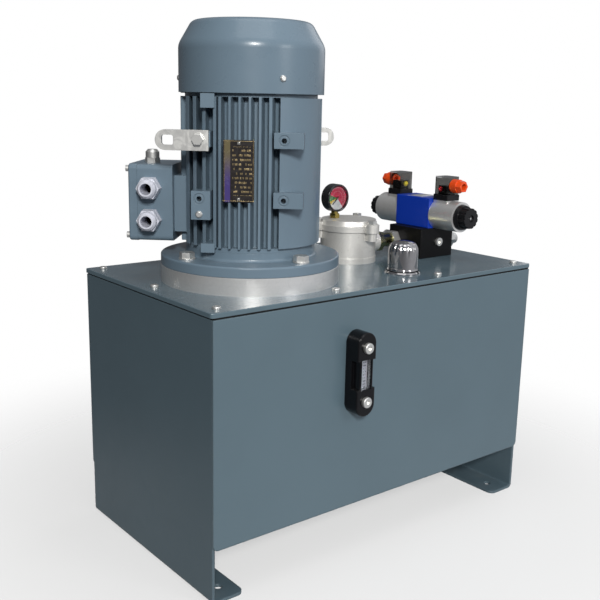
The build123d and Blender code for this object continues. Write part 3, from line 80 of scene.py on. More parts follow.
# Node helpers
def put(tree, kind, inputs=None, **settings):
    # Adds one shader node; inputs are sockets or plain values.
    made = tree.nodes.new("ShaderNode" + kind)
    for name, value in settings.items():
        setattr(made, name, value)
    for name, value in (inputs or {}).items():
        if isinstance(value, bpy.types.NodeSocket):
            tree.links.new(value, made.inputs[name])
        else:
            made.inputs[name].default_value = value
    return made


def maths(tree, operation, *values, clamp=False):
    return put(tree, "Math", dict(enumerate(values)), operation=operation, use_clamp=clamp).outputs[0]


def mixColour(tree, mask, first, second):
    return put(tree, "Mix", {0: mask, 6: first, 7: second}, data_type="RGBA").outputs[2]


def ramp(tree, value, low, high, start=0.0, end=1.0):
    # Value between low and high spread smoothly over start to end, and held outside.
    inputs = {0: value, 1: low, 2: high, 3: start, 4: end}
    return put(tree, "MapRange", inputs, interpolation_type="SMOOTHSTEP").outputs[0]


def noise(tree, place, scale, detail=2.0, roughness=0.5):
    inputs = {"Vector": place, "Scale": scale, "Detail": detail, "Roughness": roughness}
    return put(tree, "TexNoise", inputs).outputs["Fac"]


def rgb(red, green, blue):
    return (red, green, blue, 1.0)


def shade(colour, factor):
    return rgb(*(min(1.0, part * factor) for part in colour[:3]))


def newGroup(name, takes, gives):
    # A shader node group; takes holds (name, kind, value) and gives holds (name, kind).
    group = bpy.data.node_groups.new(name, "ShaderNodeTree")
    for label, kind, value in takes:
        socket = group.interface.new_socket(label, in_out="INPUT", socket_type="NodeSocket" + kind)
        if value is not None:
            socket.default_value = value
    for label, kind in gives:
        group.interface.new_socket(label, in_out="OUTPUT", socket_type="NodeSocket" + kind)
    entry = group.nodes.new("NodeGroupInput").outputs
    leave = group.nodes.new("NodeGroupOutput").inputs
    return group, entry, leave


def useGroup(tree, group, inputs):
    return put(tree, "Group", inputs, node_tree=group).outputs


# Surface effects used by several finishes
def makeSoftEdge():
    # Bevelled normal for the edges; wear is how far that normal leans from the flat one,
    # broken by noise.
    takes = [("Vector", "Vector", None), ("Radius", "Float", 0.0006), ("Wear", "Float", 0.3)]
    group, entry, leave = newGroup("softEdge", takes, [("Normal", "Vector"), ("Wear", "Float")])
    bevel = put(group, "Bevel", {"Radius": entry["Radius"]}, samples=4).outputs[0]
    flat = put(group, "NewGeometry").outputs["Normal"]
    lean = put(group, "VectorMath", {0: bevel, 1: flat}, operation="DOT_PRODUCT").outputs["Value"]
    edge = ramp(group, lean, 0.99, 0.8)
    broken = ramp(group, noise(group, entry["Vector"], 220.0, 4.0, 0.65), 0.42, 0.62)
    worn = maths(group, "MULTIPLY", maths(group, "MULTIPLY", edge, broken), entry["Wear"])
    group.links.new(bevel, leave["Normal"])
    group.links.new(worn, leave["Wear"])
    return group


def makePaintFilm():
    # Orange peel is fine noise; tone is slow noise; gloss is cloudy noise.
    takes = [("Vector", "Vector", None), ("Peel size", "Float", 0.0015)]
    gives = [("Height", "Float"), ("Tone", "Float"), ("Gloss", "Float")]
    group, entry, leave = newGroup("paintFilm", takes, gives)
    fine = maths(group, "DIVIDE", 1.0, entry["Peel size"])
    group.links.new(noise(group, entry["Vector"], fine, 2.0), leave["Height"])
    group.links.new(ramp(group, noise(group, entry["Vector"], 9.0, 5.0), 0.3, 0.7), leave["Tone"])
    cloud = noise(group, entry["Vector"], 34.0, 6.0, 0.6)
    group.links.new(ramp(group, cloud, 0.35, 0.7), leave["Gloss"])
    return group


def makeDustFall():
    # Dust lies where the surface faces up, in specks over a thin cloud.
    takes = [("Vector", "Vector", None), ("Amount", "Float", 0.2)]
    group, entry, leave = newGroup("dustFall", takes, [("Mask", "Float")])
    normal = put(group, "NewGeometry").outputs["Normal"]
    up = put(group, "SeparateXYZ", {0: normal}).outputs["Z"]
    lying = ramp(group, up, 0.55, 0.95)
    cloud = ramp(group, noise(group, entry["Vector"], 26.0, 6.0, 0.6), 0.4, 0.75, 0.0, 0.5)
    specks = ramp(group, noise(group, entry["Vector"], 900.0, 2.0), 0.66, 0.74)
    both = maths(group, "ADD", cloud, specks, clamp=True)
    mask = maths(group, "MULTIPLY", maths(group, "MULTIPLY", lying, both), entry["Amount"])
    group.links.new(mask, leave["Mask"])
    return group


def makeCastGrain():
    # Cast skin: two sizes of noise for height, and small dark pits where a cell pattern is low.
    takes = [("Vector", "Vector", None), ("Grain size", "Float", 0.0008)]
    group, entry, leave = newGroup("castGrain", takes, [("Height", "Float"), ("Pits", "Float")])
    scale = maths(group, "DIVIDE", 1.0, entry["Grain size"])
    fine = noise(group, entry["Vector"], scale, 3.0, 0.6)
    broad = noise(group, entry["Vector"], maths(group, "MULTIPLY", scale, 0.12), 3.0)
    cellScale = maths(group, "MULTIPLY", scale, 0.3)
    cells = put(group, "TexVoronoi", {"Vector": entry["Vector"], "Scale": cellScale})
    pits = ramp(group, cells.outputs["Distance"], 0.16, 0.05)
    height = maths(group, "SUBTRACT", maths(group, "MULTIPLY_ADD", broad, 0.8, fine), pits)
    group.links.new(height, leave["Height"])
    group.links.new(pits, leave["Pits"])
    return group


def makeToolLines():
    # Lines of a lathe or brush: noise that is fine across the strokes and stretched along them.
    takes = [("Vector", "Vector", None), ("Pitch", "Float", 0.0004)]
    group, entry, leave = newGroup("toolLines", takes, [("Height", "Float"), ("Tone", "Float")])
    scale = maths(group, "DIVIDE", 1.0, entry["Pitch"])
    lines = noise(group, entry["Vector"], scale, 2.0, 0.7)
    wide = noise(group, entry["Vector"], maths(group, "MULTIPLY", scale, 0.13), 2.0)
    group.links.new(lines, leave["Height"])
    tone = maths(group, "MULTIPLY_ADD", wide, 0.6, maths(group, "MULTIPLY", lines, 0.4))
    group.links.new(tone, leave["Tone"])
    return group


def makeSmudges():
    # Handling marks: warped cloudy noise, held to patches.
    takes = [("Vector", "Vector", None), ("Size", "Float", 0.02)]
    group, entry, leave = newGroup("smudges", takes, [("Mask", "Float")])
    scale = maths(group, "DIVIDE", 1.0, entry["Size"])
    inputs = {"Vector": entry["Vector"], "Scale": scale, "Detail": 6.0, "Distortion": 1.4}
    cloud = put(group, "TexNoise", inputs).outputs["Fac"]
    group.links.new(ramp(group, cloud, 0.45, 0.65), leave["Mask"])
    return group


def makePrintRows():
    # Printed rows of short dashes: row and column numbers are rounded down, and a random value
    # per cell leaves some out. Across and Up are in metres from the print's middle.
    takes = [("Across", "Float", 0.0), ("Up", "Float", 0.0),
             ("Row", "Float", 0.005), ("Dash", "Float", 0.002)]
    group, entry, leave = newGroup("printRows", takes, [("Mask", "Float")])
    row = maths(group, "DIVIDE", entry["Up"], entry["Row"])
    column = maths(group, "DIVIDE", entry["Across"], entry["Dash"])
    inRow = maths(group, "COMPARE", maths(group, "FRACT", row), 0.5, 0.2)
    inDash = maths(group, "COMPARE", maths(group, "FRACT", column), 0.5, 0.4)
    corner = {0: maths(group, "FLOOR", row), 1: maths(group, "FLOOR", column)}
    cell = put(group, "CombineXYZ", corner).outputs[0]
    chance = put(group, "TexWhiteNoise", {"Vector": cell}).outputs["Value"]
    printed = maths(group, "GREATER_THAN", chance, 0.38)
    mask = maths(group, "MULTIPLY", maths(group, "MULTIPLY", inRow, inDash), printed)
    group.links.new(mask, leave["Mask"])
    return group


softEdge = makeSoftEdge()
paintFilm = makePaintFilm()
dustFall = makeDustFall()
castGrain = makeCastGrain()
toolLines = makeToolLines()
smudges = makeSmudges()
printRows = makePrintRows()
print("effects built")


# Finishes
bareMetal = rgb(0.34, 0.35, 0.35)  # shows where paint has rubbed off
paintDust = rgb(0.42, 0.41, 0.39)
plasticDust = rgb(0.4, 0.39, 0.37)


def newFinish(name):
    material = bpy.data.materials.new(name)
    material.use_nodes = True
    tree = material.node_tree
    shader = tree.nodes["Principled BSDF"]
    place = put(tree, "TexCoord").outputs["Object"]
    return material, tree, shader, place


def centred(tree, place, middle, turn=0.0, stretch=(1.0, 1.0, 1.0)):
    # Object coordinates measured from a middle point, turned about Z and stretched.
    spin = Matrix.Rotation(turn, 3, "Z")
    inputs = {"Location": -(spin @ Vector(middle)), "Rotation": (0.0, 0.0, turn)}
    moved = put(tree, "Mapping", {"Vector": place, **inputs}).outputs[0]
    return put(tree, "VectorMath", {0: moved, 1: stretch}, operation="MULTIPLY").outputs[0]


def distance(tree, across, other):
    # Square root of the sum of two squares.
    squares = [maths(tree, "POWER", part, 2.0) for part in (across, other)]
    return maths(tree, "SQRT", maths(tree, "ADD", *squares))


def roundLines(tree, place, middle, axis="Z"):
    # Distance from the axis and height along it, so that tool lines run round the axis.
    x, y, z = put(tree, "SeparateXYZ", {0: centred(tree, place, middle)}).outputs
    across, other, along = {"Z": (x, y, z), "Y": (x, z, y), "X": (y, z, x)}[axis]
    far = maths(tree, "MULTIPLY", distance(tree, across, other), 0.15)
    return put(tree, "CombineXYZ", {0: far, 1: along}).outputs[0]


def setPlain(shader, values):
    for name, value in values.items():
        shader.inputs[name].default_value = value


def raised(tree, height, depth, normal):
    inputs = {"Height": height, "Distance": depth, "Strength": 1.0, "Normal": normal}
    return put(tree, "Bump", inputs).outputs[0]


def paintFinish(name, look):
    # Sprayed paint: a slow change of tone, rubbed edges, dust on top and orange peel; grain is a
    # cast skin under it.
    material, tree, shader, place = newFinish(name)
    edge = useGroup(tree, softEdge, {"Vector": place, "Radius": look["edge"], "Wear": look["wear"]})
    film = useGroup(tree, paintFilm, {"Vector": place, "Peel size": look["peel"]})
    dust = useGroup(tree, dustFall, {"Vector": place, "Amount": look["dust"]})
    tone = mixColour(tree, film["Tone"], shade(look["colour"], 0.975), shade(look["colour"], 1.025))
    worn = mixColour(tree, edge["Wear"], tone, look.get("under", bareMetal))
    colour = mixColour(tree, dust["Mask"], worn, paintDust)
    low, high = look["roughness"]
    dull = maths(tree, "MULTIPLY_ADD", film["Gloss"], high - low, low)
    rough = maths(tree, "MULTIPLY_ADD", dust["Mask"], 0.4, dull, clamp=True)
    normal = raised(tree, film["Height"], look["depth"], edge["Normal"])
    if "grain" in look:
        grain = useGroup(tree, castGrain, {"Vector": place, "Grain size": look["grain"]})
        normal = raised(tree, grain["Height"], look["grainDepth"], normal)
    tree.links.new(colour, shader.inputs["Base Color"])
    tree.links.new(rough, shader.inputs["Roughness"])
    tree.links.new(normal, shader.inputs["Normal"])
    setPlain(shader, {"Coat Weight": look["coat"], "Coat Roughness": 0.12})
    setPlain(shader, {"Specular IOR Level": 0.35})
    return material


def metalFinish(name, look):
    # Bare or plated metal: tool lines or a cast grain, smudges, bright edges and a little dirt.
    material, tree, shader, place = newFinish(name)
    edge = useGroup(tree, softEdge, {"Vector": place, "Radius": look.get("edge", 0.0004), "Wear": 0.8})
    marks = useGroup(tree, smudges, {"Vector": place, "Size": look.get("smudge", 0.014)})["Mask"]
    if "axis" in look:
        along = roundLines(tree, place, look["middle"], look["axis"])
    else:
        along = centred(tree, place, (0, 0, 0), 0.0, look.get("stretch", (1.0, 1.0, 1.0)))
    if "grain" in look:
        made = useGroup(tree, castGrain, {"Vector": along, "Grain size": look["grain"]})
        tone, height = made["Pits"], made["Height"]
    else:
        made = useGroup(tree, toolLines, {"Vector": along, "Pitch": look["pitch"]})
        tone, height = made["Tone"], made["Height"]
    dark = look.get("dark", shade(look["colour"], 0.72))
    base = mixColour(tree, tone, look["colour"], dark)
    handled = mixColour(tree, maths(tree, "MULTIPLY", marks, 0.35), base, dark)
    colour = mixColour(tree, edge["Wear"], handled, shade(look["colour"], 1.25))
    low, high = look["roughness"]
    rough = maths(tree, "MULTIPLY_ADD", marks, high - low, low)
    tree.links.new(colour, shader.inputs["Base Color"])
    tree.links.new(rough, shader.inputs["Roughness"])
    tree.links.new(raised(tree, height, look["depth"], edge["Normal"]), shader.inputs["Normal"])
    setPlain(shader, {"Metallic": look.get("metallic", 1.0)})
    return material


def plasticFinish(name, look):
    # Moulded plastic or rubber: fine spark-eroded grain, faint rubbed edges, patches of handling.
    material, tree, shader, place = newFinish(name)
    rubbed = {"Vector": place, "Radius": look.get("edge", 0.0005), "Wear": look.get("wear", 0.25)}
    edge = useGroup(tree, softEdge, rubbed)
    grain = useGroup(tree, castGrain, {"Vector": place, "Grain size": look.get("grain", 0.0004)})
    marks = useGroup(tree, smudges, {"Vector": place, "Size": 0.012})["Mask"]
    dust = useGroup(tree, dustFall, {"Vector": place, "Amount": look.get("dust", 0.2)})
    tone = mixColour(tree, marks, look["colour"], shade(look["colour"], 0.85))
    worn = mixColour(tree, edge["Wear"], tone, look.get("worn", shade(look["colour"], 1.6)))
    colour = mixColour(tree, dust["Mask"], worn, plasticDust)
    low, high = look["roughness"]
    tree.links.new(colour, shader.inputs["Base Color"])
    tree.links.new(maths(tree, "MULTIPLY_ADD", marks, high - low, low), shader.inputs["Roughness"])
    normal = raised(tree, grain["Height"], look.get("depth", 0.00002), edge["Normal"])
    tree.links.new(normal, shader.inputs["Normal"])
    setPlain(shader, {"Specular IOR Level": look.get("specular", 0.5)})
    return material


def clearFinish(name, look):
    # Clear or tinted moulding; scratches only change its roughness.
    material, tree, shader, place = newFinish(name)
    slant = centred(tree, place, (0, 0, 0), 0.6, (1, 0.02, 1))
    lines = useGroup(tree, toolLines, {"Vector": slant, "Pitch": 0.0006})
    low, high = look["roughness"]
    rough = maths(tree, "MULTIPLY_ADD", lines["Tone"], high - low, low)
    cloud = useGroup(tree, smudges, {"Vector": place, "Size": 0.01})["Mask"]
    colour = mixColour(tree, cloud, look["colour"], shade(look["colour"], 0.93))
    tree.links.new(rough, shader.inputs["Roughness"])
    tree.links.new(colour, shader.inputs["Base Color"])
    setPlain(shader, {"Transmission Weight": 1.0, "IOR": look["ior"]})
    return material


def middleOf(node):
    low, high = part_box(node)
    return (low + high) / 2


# The motor stands turned about Z; its nameplate faces the front left.
motor = {"middle": (-0.140, -0.020, 0.0), "turn": math.radians(-42.0)}
gaugeMiddle = middleOf("clogging_gauge_dial")
gaugeStem = (0.0595, 0.0314, 0.0)
breatherMiddle = middleOf("breather_cap")
coilMiddle = middleOf("valve_body")
coilMiddle.z = 0.457  # height of the coils' axis


# Nameplate: each "half" is half of the part's size, measured from its middle.
nameplate = {
    "black": rgb(0.012, 0.009, 0.008), "gold": rgb(0.62, 0.47, 0.24), "row": 0.0058, "dash": 0.0017,
    "printMiddle": 0.0045, "printHalf": 0.0125, "printHalfHeight": 0.031,
    "frameAcross": 0.0186, "frameUp": 0.038, "frameHalf": 0.0002,
    "bandMiddle": -0.0145, "bandHalf": 0.0036,
    "bandTop": rgb(0.12, 0.10, 0.05), "bandFoot": rgb(0.05, 0.035, 0.16),
    "rivetUp": 0.0355, "rivetHalf": 0.0017, "rivet": rgb(0.8, 0.78, 0.72),
    "rubbed": rgb(0.5, 0.48, 0.44),
}


def makeNameplate():
    # Black plate with rows of plain gold dashes, a violet band at its left and a thin frame line.
    look = nameplate
    material, tree, shader, place = newFinish("nameplateBlack")
    flat = centred(tree, place, middleOf("nameplate"), -motor["turn"])
    across, depth, up = put(tree, "SeparateXYZ", {0: flat}).outputs
    spacing = {"Row": look["row"], "Dash": look["dash"]}
    rows = useGroup(tree, printRows, {"Across": across, "Up": up, **spacing})
    besides = maths(tree, "ABSOLUTE", across)
    above = maths(tree, "ABSOLUTE", up)
    inWidth = maths(tree, "COMPARE", across, look["printMiddle"], look["printHalf"])
    inHeight = maths(tree, "COMPARE", up, 0.0, look["printHalfHeight"])
    printed = maths(tree, "MULTIPLY", maths(tree, "MULTIPLY", rows["Mask"], inWidth), inHeight)
    side = maths(tree, "COMPARE", besides, look["frameAcross"], look["frameHalf"])
    top = maths(tree, "COMPARE", above, look["frameUp"], look["frameHalf"])
    marks = maths(tree, "MAXIMUM", printed, maths(tree, "MAXIMUM", side, top))
    band = maths(tree, "COMPARE", across, look["bandMiddle"], look["bandHalf"])
    violet = mixColour(tree, ramp(tree, up, -0.02, 0.03), look["bandFoot"], look["bandTop"])
    ground = mixColour(tree, band, look["black"], violet)
    rivets = maths(tree, "MULTIPLY", maths(tree, "COMPARE", above, look["rivetUp"], look["rivetHalf"]),
                   maths(tree, "COMPARE", across, 0.0, look["rivetHalf"]))
    colour = mixColour(tree, rivets, mixColour(tree, marks, ground, look["gold"]), look["rivet"])
    edge = useGroup(tree, softEdge, {"Vector": place, "Radius": 0.0003, "Wear": 0.8})
    colour = mixColour(tree, edge["Wear"], colour, look["rubbed"])
    tree.links.new(colour, shader.inputs["Base Color"])
    tree.links.new(maths(tree, "MAXIMUM", marks, rivets), shader.inputs["Metallic"])
    clouds = useGroup(tree, smudges, {"Vector": place, "Size": 0.012})["Mask"]
    tree.links.new(maths(tree, "MULTIPLY_ADD", clouds, 0.15, 0.18), shader.inputs["Roughness"])
    tree.links.new(raised(tree, marks, 0.00004, edge["Normal"]), shader.inputs["Normal"])
    setPlain(shader, {"Coat Weight": 0.5, "Coat Roughness": 0.1})
    return material


# Dial: sectors as angle from straight up and half their reach, in degrees; rings as radius and
# half width.
dial = {
    "red": rgb(0.52, 0.008, 0.05), "green": rgb(0.04, 0.22, 0.06), "yellow": rgb(0.7, 0.5, 0.05),
    "white": rgb(0.75, 0.75, 0.74), "greenSector": (-92.0, 20.0), "yellowSector": (-118.0, 8.0),
    "redStart": -126.0, "whiteFrom": 142.0, "tick": 15.0, "grime": rgb(0.3, 0.25, 0.2),
    "tickRing": (0.0148, 0.001), "dashRing": (0.0105, 0.0009), "rim": (0.0164, 0.0002),
}


def makeDial():
    # Printed dial: the angle picks red, green, yellow or white; white ticks stand on a ring.
    look = dial
    material, tree, shader, place = newFinish("dialPrint")
    x, y, z = put(tree, "SeparateXYZ", {0: centred(tree, place, gaugeMiddle)}).outputs
    angle = maths(tree, "DEGREES", maths(tree, "ARCTAN2", x, z))
    far = distance(tree, x, z)
    green = maths(tree, "COMPARE", angle, *look["greenSector"])
    yellow = maths(tree, "COMPARE", angle, *look["yellowSector"])
    white = maths(tree, "GREATER_THAN", maths(tree, "ABSOLUTE", angle), look["whiteFrom"])
    low = maths(tree, "LESS_THAN", angle, look["redStart"])
    colour = mixColour(tree, green, look["red"], look["green"])
    colour = mixColour(tree, yellow, colour, look["yellow"])
    colour = mixColour(tree, maths(tree, "MAXIMUM", white, low), colour, look["white"])
    turn = maths(tree, "FRACT", maths(tree, "DIVIDE", maths(tree, "ADD", angle, 180.0), look["tick"]))
    ticks = maths(tree, "MULTIPLY", maths(tree, "COMPARE", turn, 0.5, 0.035),
                  maths(tree, "COMPARE", far, *look["tickRing"]))
    rim = maths(tree, "COMPARE", far, *look["rim"])
    dashes = maths(tree, "MULTIPLY", maths(tree, "COMPARE", turn, 0.5, 0.22),
                   maths(tree, "COMPARE", far, *look["dashRing"]))
    lines = maths(tree, "MAXIMUM", ticks, rim)
    marks = maths(tree, "MAXIMUM", lines, maths(tree, "MULTIPLY", dashes, 0.35))
    colour = mixColour(tree, marks, colour, look["white"])
    cloud = useGroup(tree, smudges, {"Vector": place, "Size": 0.008})["Mask"]
    colour = mixColour(tree, maths(tree, "MULTIPLY", cloud, 0.12), colour, look["grime"])
    tree.links.new(colour, shader.inputs["Base Color"])
    tree.links.new(maths(tree, "MULTIPLY_ADD", cloud, 0.15, 0.35), shader.inputs["Roughness"])
    return material


def makeScale():
    # White strip with fine grey level lines, longer every fifth, and small marks beside them.
    look = {"white": rgb(0.66, 0.66, 0.72), "grey": rgb(0.10, 0.10, 0.13), "pitch": 0.0022,
            "lineStart": 0.005, "short": 0.0022, "marksMiddle": 0.0035, "marksHalf": 0.0024}
    material, tree, shader, place = newFinish("scaleWhite")
    flat = centred(tree, place, middleOf("level_gauge_scale"))
    across, depth, up = put(tree, "SeparateXYZ", {0: flat}).outputs
    steps = maths(tree, "DIVIDE", maths(tree, "ADD", up, 0.5), look["pitch"])
    lines = maths(tree, "COMPARE", maths(tree, "FRACT", steps), 0.5, 0.13)
    fifth = maths(tree, "FRACT", maths(tree, "DIVIDE", steps, 5.0))
    longer = maths(tree, "COMPARE", fifth, 0.5, 0.1)
    reach = maths(tree, "MULTIPLY_ADD", longer, look["short"], look["short"])
    near = maths(tree, "LESS_THAN", maths(tree, "ADD", across, look["lineStart"]), reach)
    spacing = {"Row": 2 * look["pitch"], "Dash": look["pitch"] / 2}
    rows = useGroup(tree, printRows, {"Across": across, "Up": up, **spacing})["Mask"]
    beside = maths(tree, "COMPARE", across, look["marksMiddle"], look["marksHalf"])
    side = maths(tree, "MULTIPLY", rows, beside)
    marks = maths(tree, "MAXIMUM", maths(tree, "MULTIPLY", lines, near), side)
    cloud = useGroup(tree, smudges, {"Vector": place, "Size": 0.01})["Mask"]
    stained = maths(tree, "MULTIPLY", cloud, 0.3)
    paper = mixColour(tree, stained, look["white"], shade(look["white"], 0.75))
    tree.links.new(mixColour(tree, marks, paper, look["grey"]), shader.inputs["Base Color"])
    tree.links.new(maths(tree, "MULTIPLY_ADD", cloud, 0.15, 0.35), shader.inputs["Roughness"])
    setPlain(shader, {"Coat Weight": 0.6, "Coat Roughness": 0.08})
    return material


def makeGaugeCase():
    # Black case whose stem, below the round part, is brass.
    look = {"black": rgb(0.009, 0.009, 0.01), "brass": rgb(0.60, 0.46, 0.13), "caseRadius": 0.0213}
    material, tree, shader, place = newFinish("gaugeBlack")
    up = put(tree, "SeparateXYZ", {0: place}).outputs["Z"]
    stem = maths(tree, "LESS_THAN", up, gaugeMiddle.z - look["caseRadius"])
    edge = useGroup(tree, softEdge, {"Vector": place, "Radius": 0.0005, "Wear": 0.2})
    marks = useGroup(tree, smudges, {"Vector": place, "Size": 0.009})["Mask"]
    turned = roundLines(tree, place, gaugeStem)
    lines = useGroup(tree, toolLines, {"Vector": turned, "Pitch": 0.0004})
    brass = mixColour(tree, lines["Tone"], look["brass"], shade(look["brass"], 0.6))
    black = mixColour(tree, marks, look["black"], shade(look["black"], 1.5))
    colour = mixColour(tree, stem, black, brass)
    colour = mixColour(tree, edge["Wear"], colour, rgb(0.2, 0.2, 0.2))
    tree.links.new(colour, shader.inputs["Base Color"])
    tree.links.new(stem, shader.inputs["Metallic"])
    tree.links.new(maths(tree, "MULTIPLY_ADD", marks, 0.12, 0.16), shader.inputs["Roughness"])
    tree.links.new(raised(tree, lines["Height"], 0.000008, edge["Normal"]), shader.inputs["Normal"])
    return material


def makeGlands():
    # Light grey moulded glands; what stands above the terminal box is the bright blanking plug.
    look = {"grey": rgb(0.60, 0.62, 0.70), "metal": rgb(0.66, 0.66, 0.64), "plugFrom": 0.5405}
    material, tree, shader, place = newFinish("glandPlastic")
    up = put(tree, "SeparateXYZ", {0: place}).outputs["Z"]
    plug = maths(tree, "GREATER_THAN", up, look["plugFrom"])
    edge = useGroup(tree, softEdge, {"Vector": place, "Radius": 0.0006, "Wear": 0.3})
    grain = useGroup(tree, castGrain, {"Vector": place, "Grain size": 0.0005})
    marks = useGroup(tree, smudges, {"Vector": place, "Size": 0.009})["Mask"]
    grey = mixColour(tree, marks, look["grey"], shade(look["grey"], 0.86))
    metal = mixColour(tree, marks, look["metal"], shade(look["metal"], 0.7))
    colour = mixColour(tree, plug, grey, metal)
    colour = mixColour(tree, edge["Wear"], colour, rgb(0.8, 0.8, 0.8))
    tree.links.new(colour, shader.inputs["Base Color"])
    tree.links.new(plug, shader.inputs["Metallic"])
    tree.links.new(maths(tree, "MULTIPLY_ADD", marks, 0.15, 0.3), shader.inputs["Roughness"])
    tree.links.new(raised(tree, grain["Height"], 0.00002, edge["Normal"]), shader.inputs["Normal"])
    return material


def makeWoven(name, look):
    # Woven mesh: sine waves along x, y and z, their x and y sum times the z one, make the over
    # and under; where the weave lies low the colour goes to the dark one as painted shade.
    material, tree, shader, place = newFinish(name)
    waves = []
    for axis in ("X", "Y", "Z"):
        part = put(tree, "SeparateXYZ", {0: place}).outputs[axis]
        waves.append(maths(tree, "SINE", maths(tree, "MULTIPLY", part, 2 * math.pi / look["thread"])))
    level = maths(tree, "MULTIPLY", maths(tree, "ADD", waves[0], waves[1]), waves[2])
    tone = ramp(tree, level, -1.0, 1.0)
    normal = put(tree, "NewGeometry").outputs["Normal"]
    # painted shade: the low, under parts of the weave take the dark colour
    tree.links.new(mixColour(tree, tone, look["dark"], look["colour"]), shader.inputs["Base Color"])
    tree.links.new(raised(tree, tone, look["depth"], normal), shader.inputs["Normal"])
    rough = maths(tree, "MULTIPLY_ADD", tone, -0.2, look["rough"])
    tree.links.new(rough, shader.inputs["Roughness"])
    setPlain(shader, {"Metallic": look["metallic"]})
    return material


def makeLayers(name, look):
    # Stacked sheets or turns: saw-tooth of the height gives a groove at each sheet's edge, and the
    # colour in the groove is darkened to 0.3 as painted shade.
    material, tree, shader, place = newFinish(name)
    up = put(tree, "SeparateXYZ", {0: place}).outputs["Z"]
    part = maths(tree, "FRACT", maths(tree, "DIVIDE", up, look["pitch"]))
    groove = ramp(tree, maths(tree, "ABSOLUTE", maths(tree, "SUBTRACT", part, 0.5)), 0.5, 0.3)
    spots = useGroup(tree, smudges, {"Vector": place, "Size": 0.006})["Mask"]
    normal = put(tree, "NewGeometry").outputs["Normal"]
    base = mixColour(tree, spots, look["colour"], shade(look["colour"], 0.7))
    # painted shade: the colour in the groove is darkened to 0.3
    colour = mixColour(tree, groove, shade(look["colour"], 0.3), base)
    tree.links.new(colour, shader.inputs["Base Color"])
    tree.links.new(raised(tree, groove, look["depth"], normal), shader.inputs["Normal"])
    rough = maths(tree, "MULTIPLY_ADD", spots, 0.2, look["rough"])
    tree.links.new(rough, shader.inputs["Roughness"])
    setPlain(shader, {"Metallic": look["metallic"], "Coat Weight": look["coat"]})
    return material


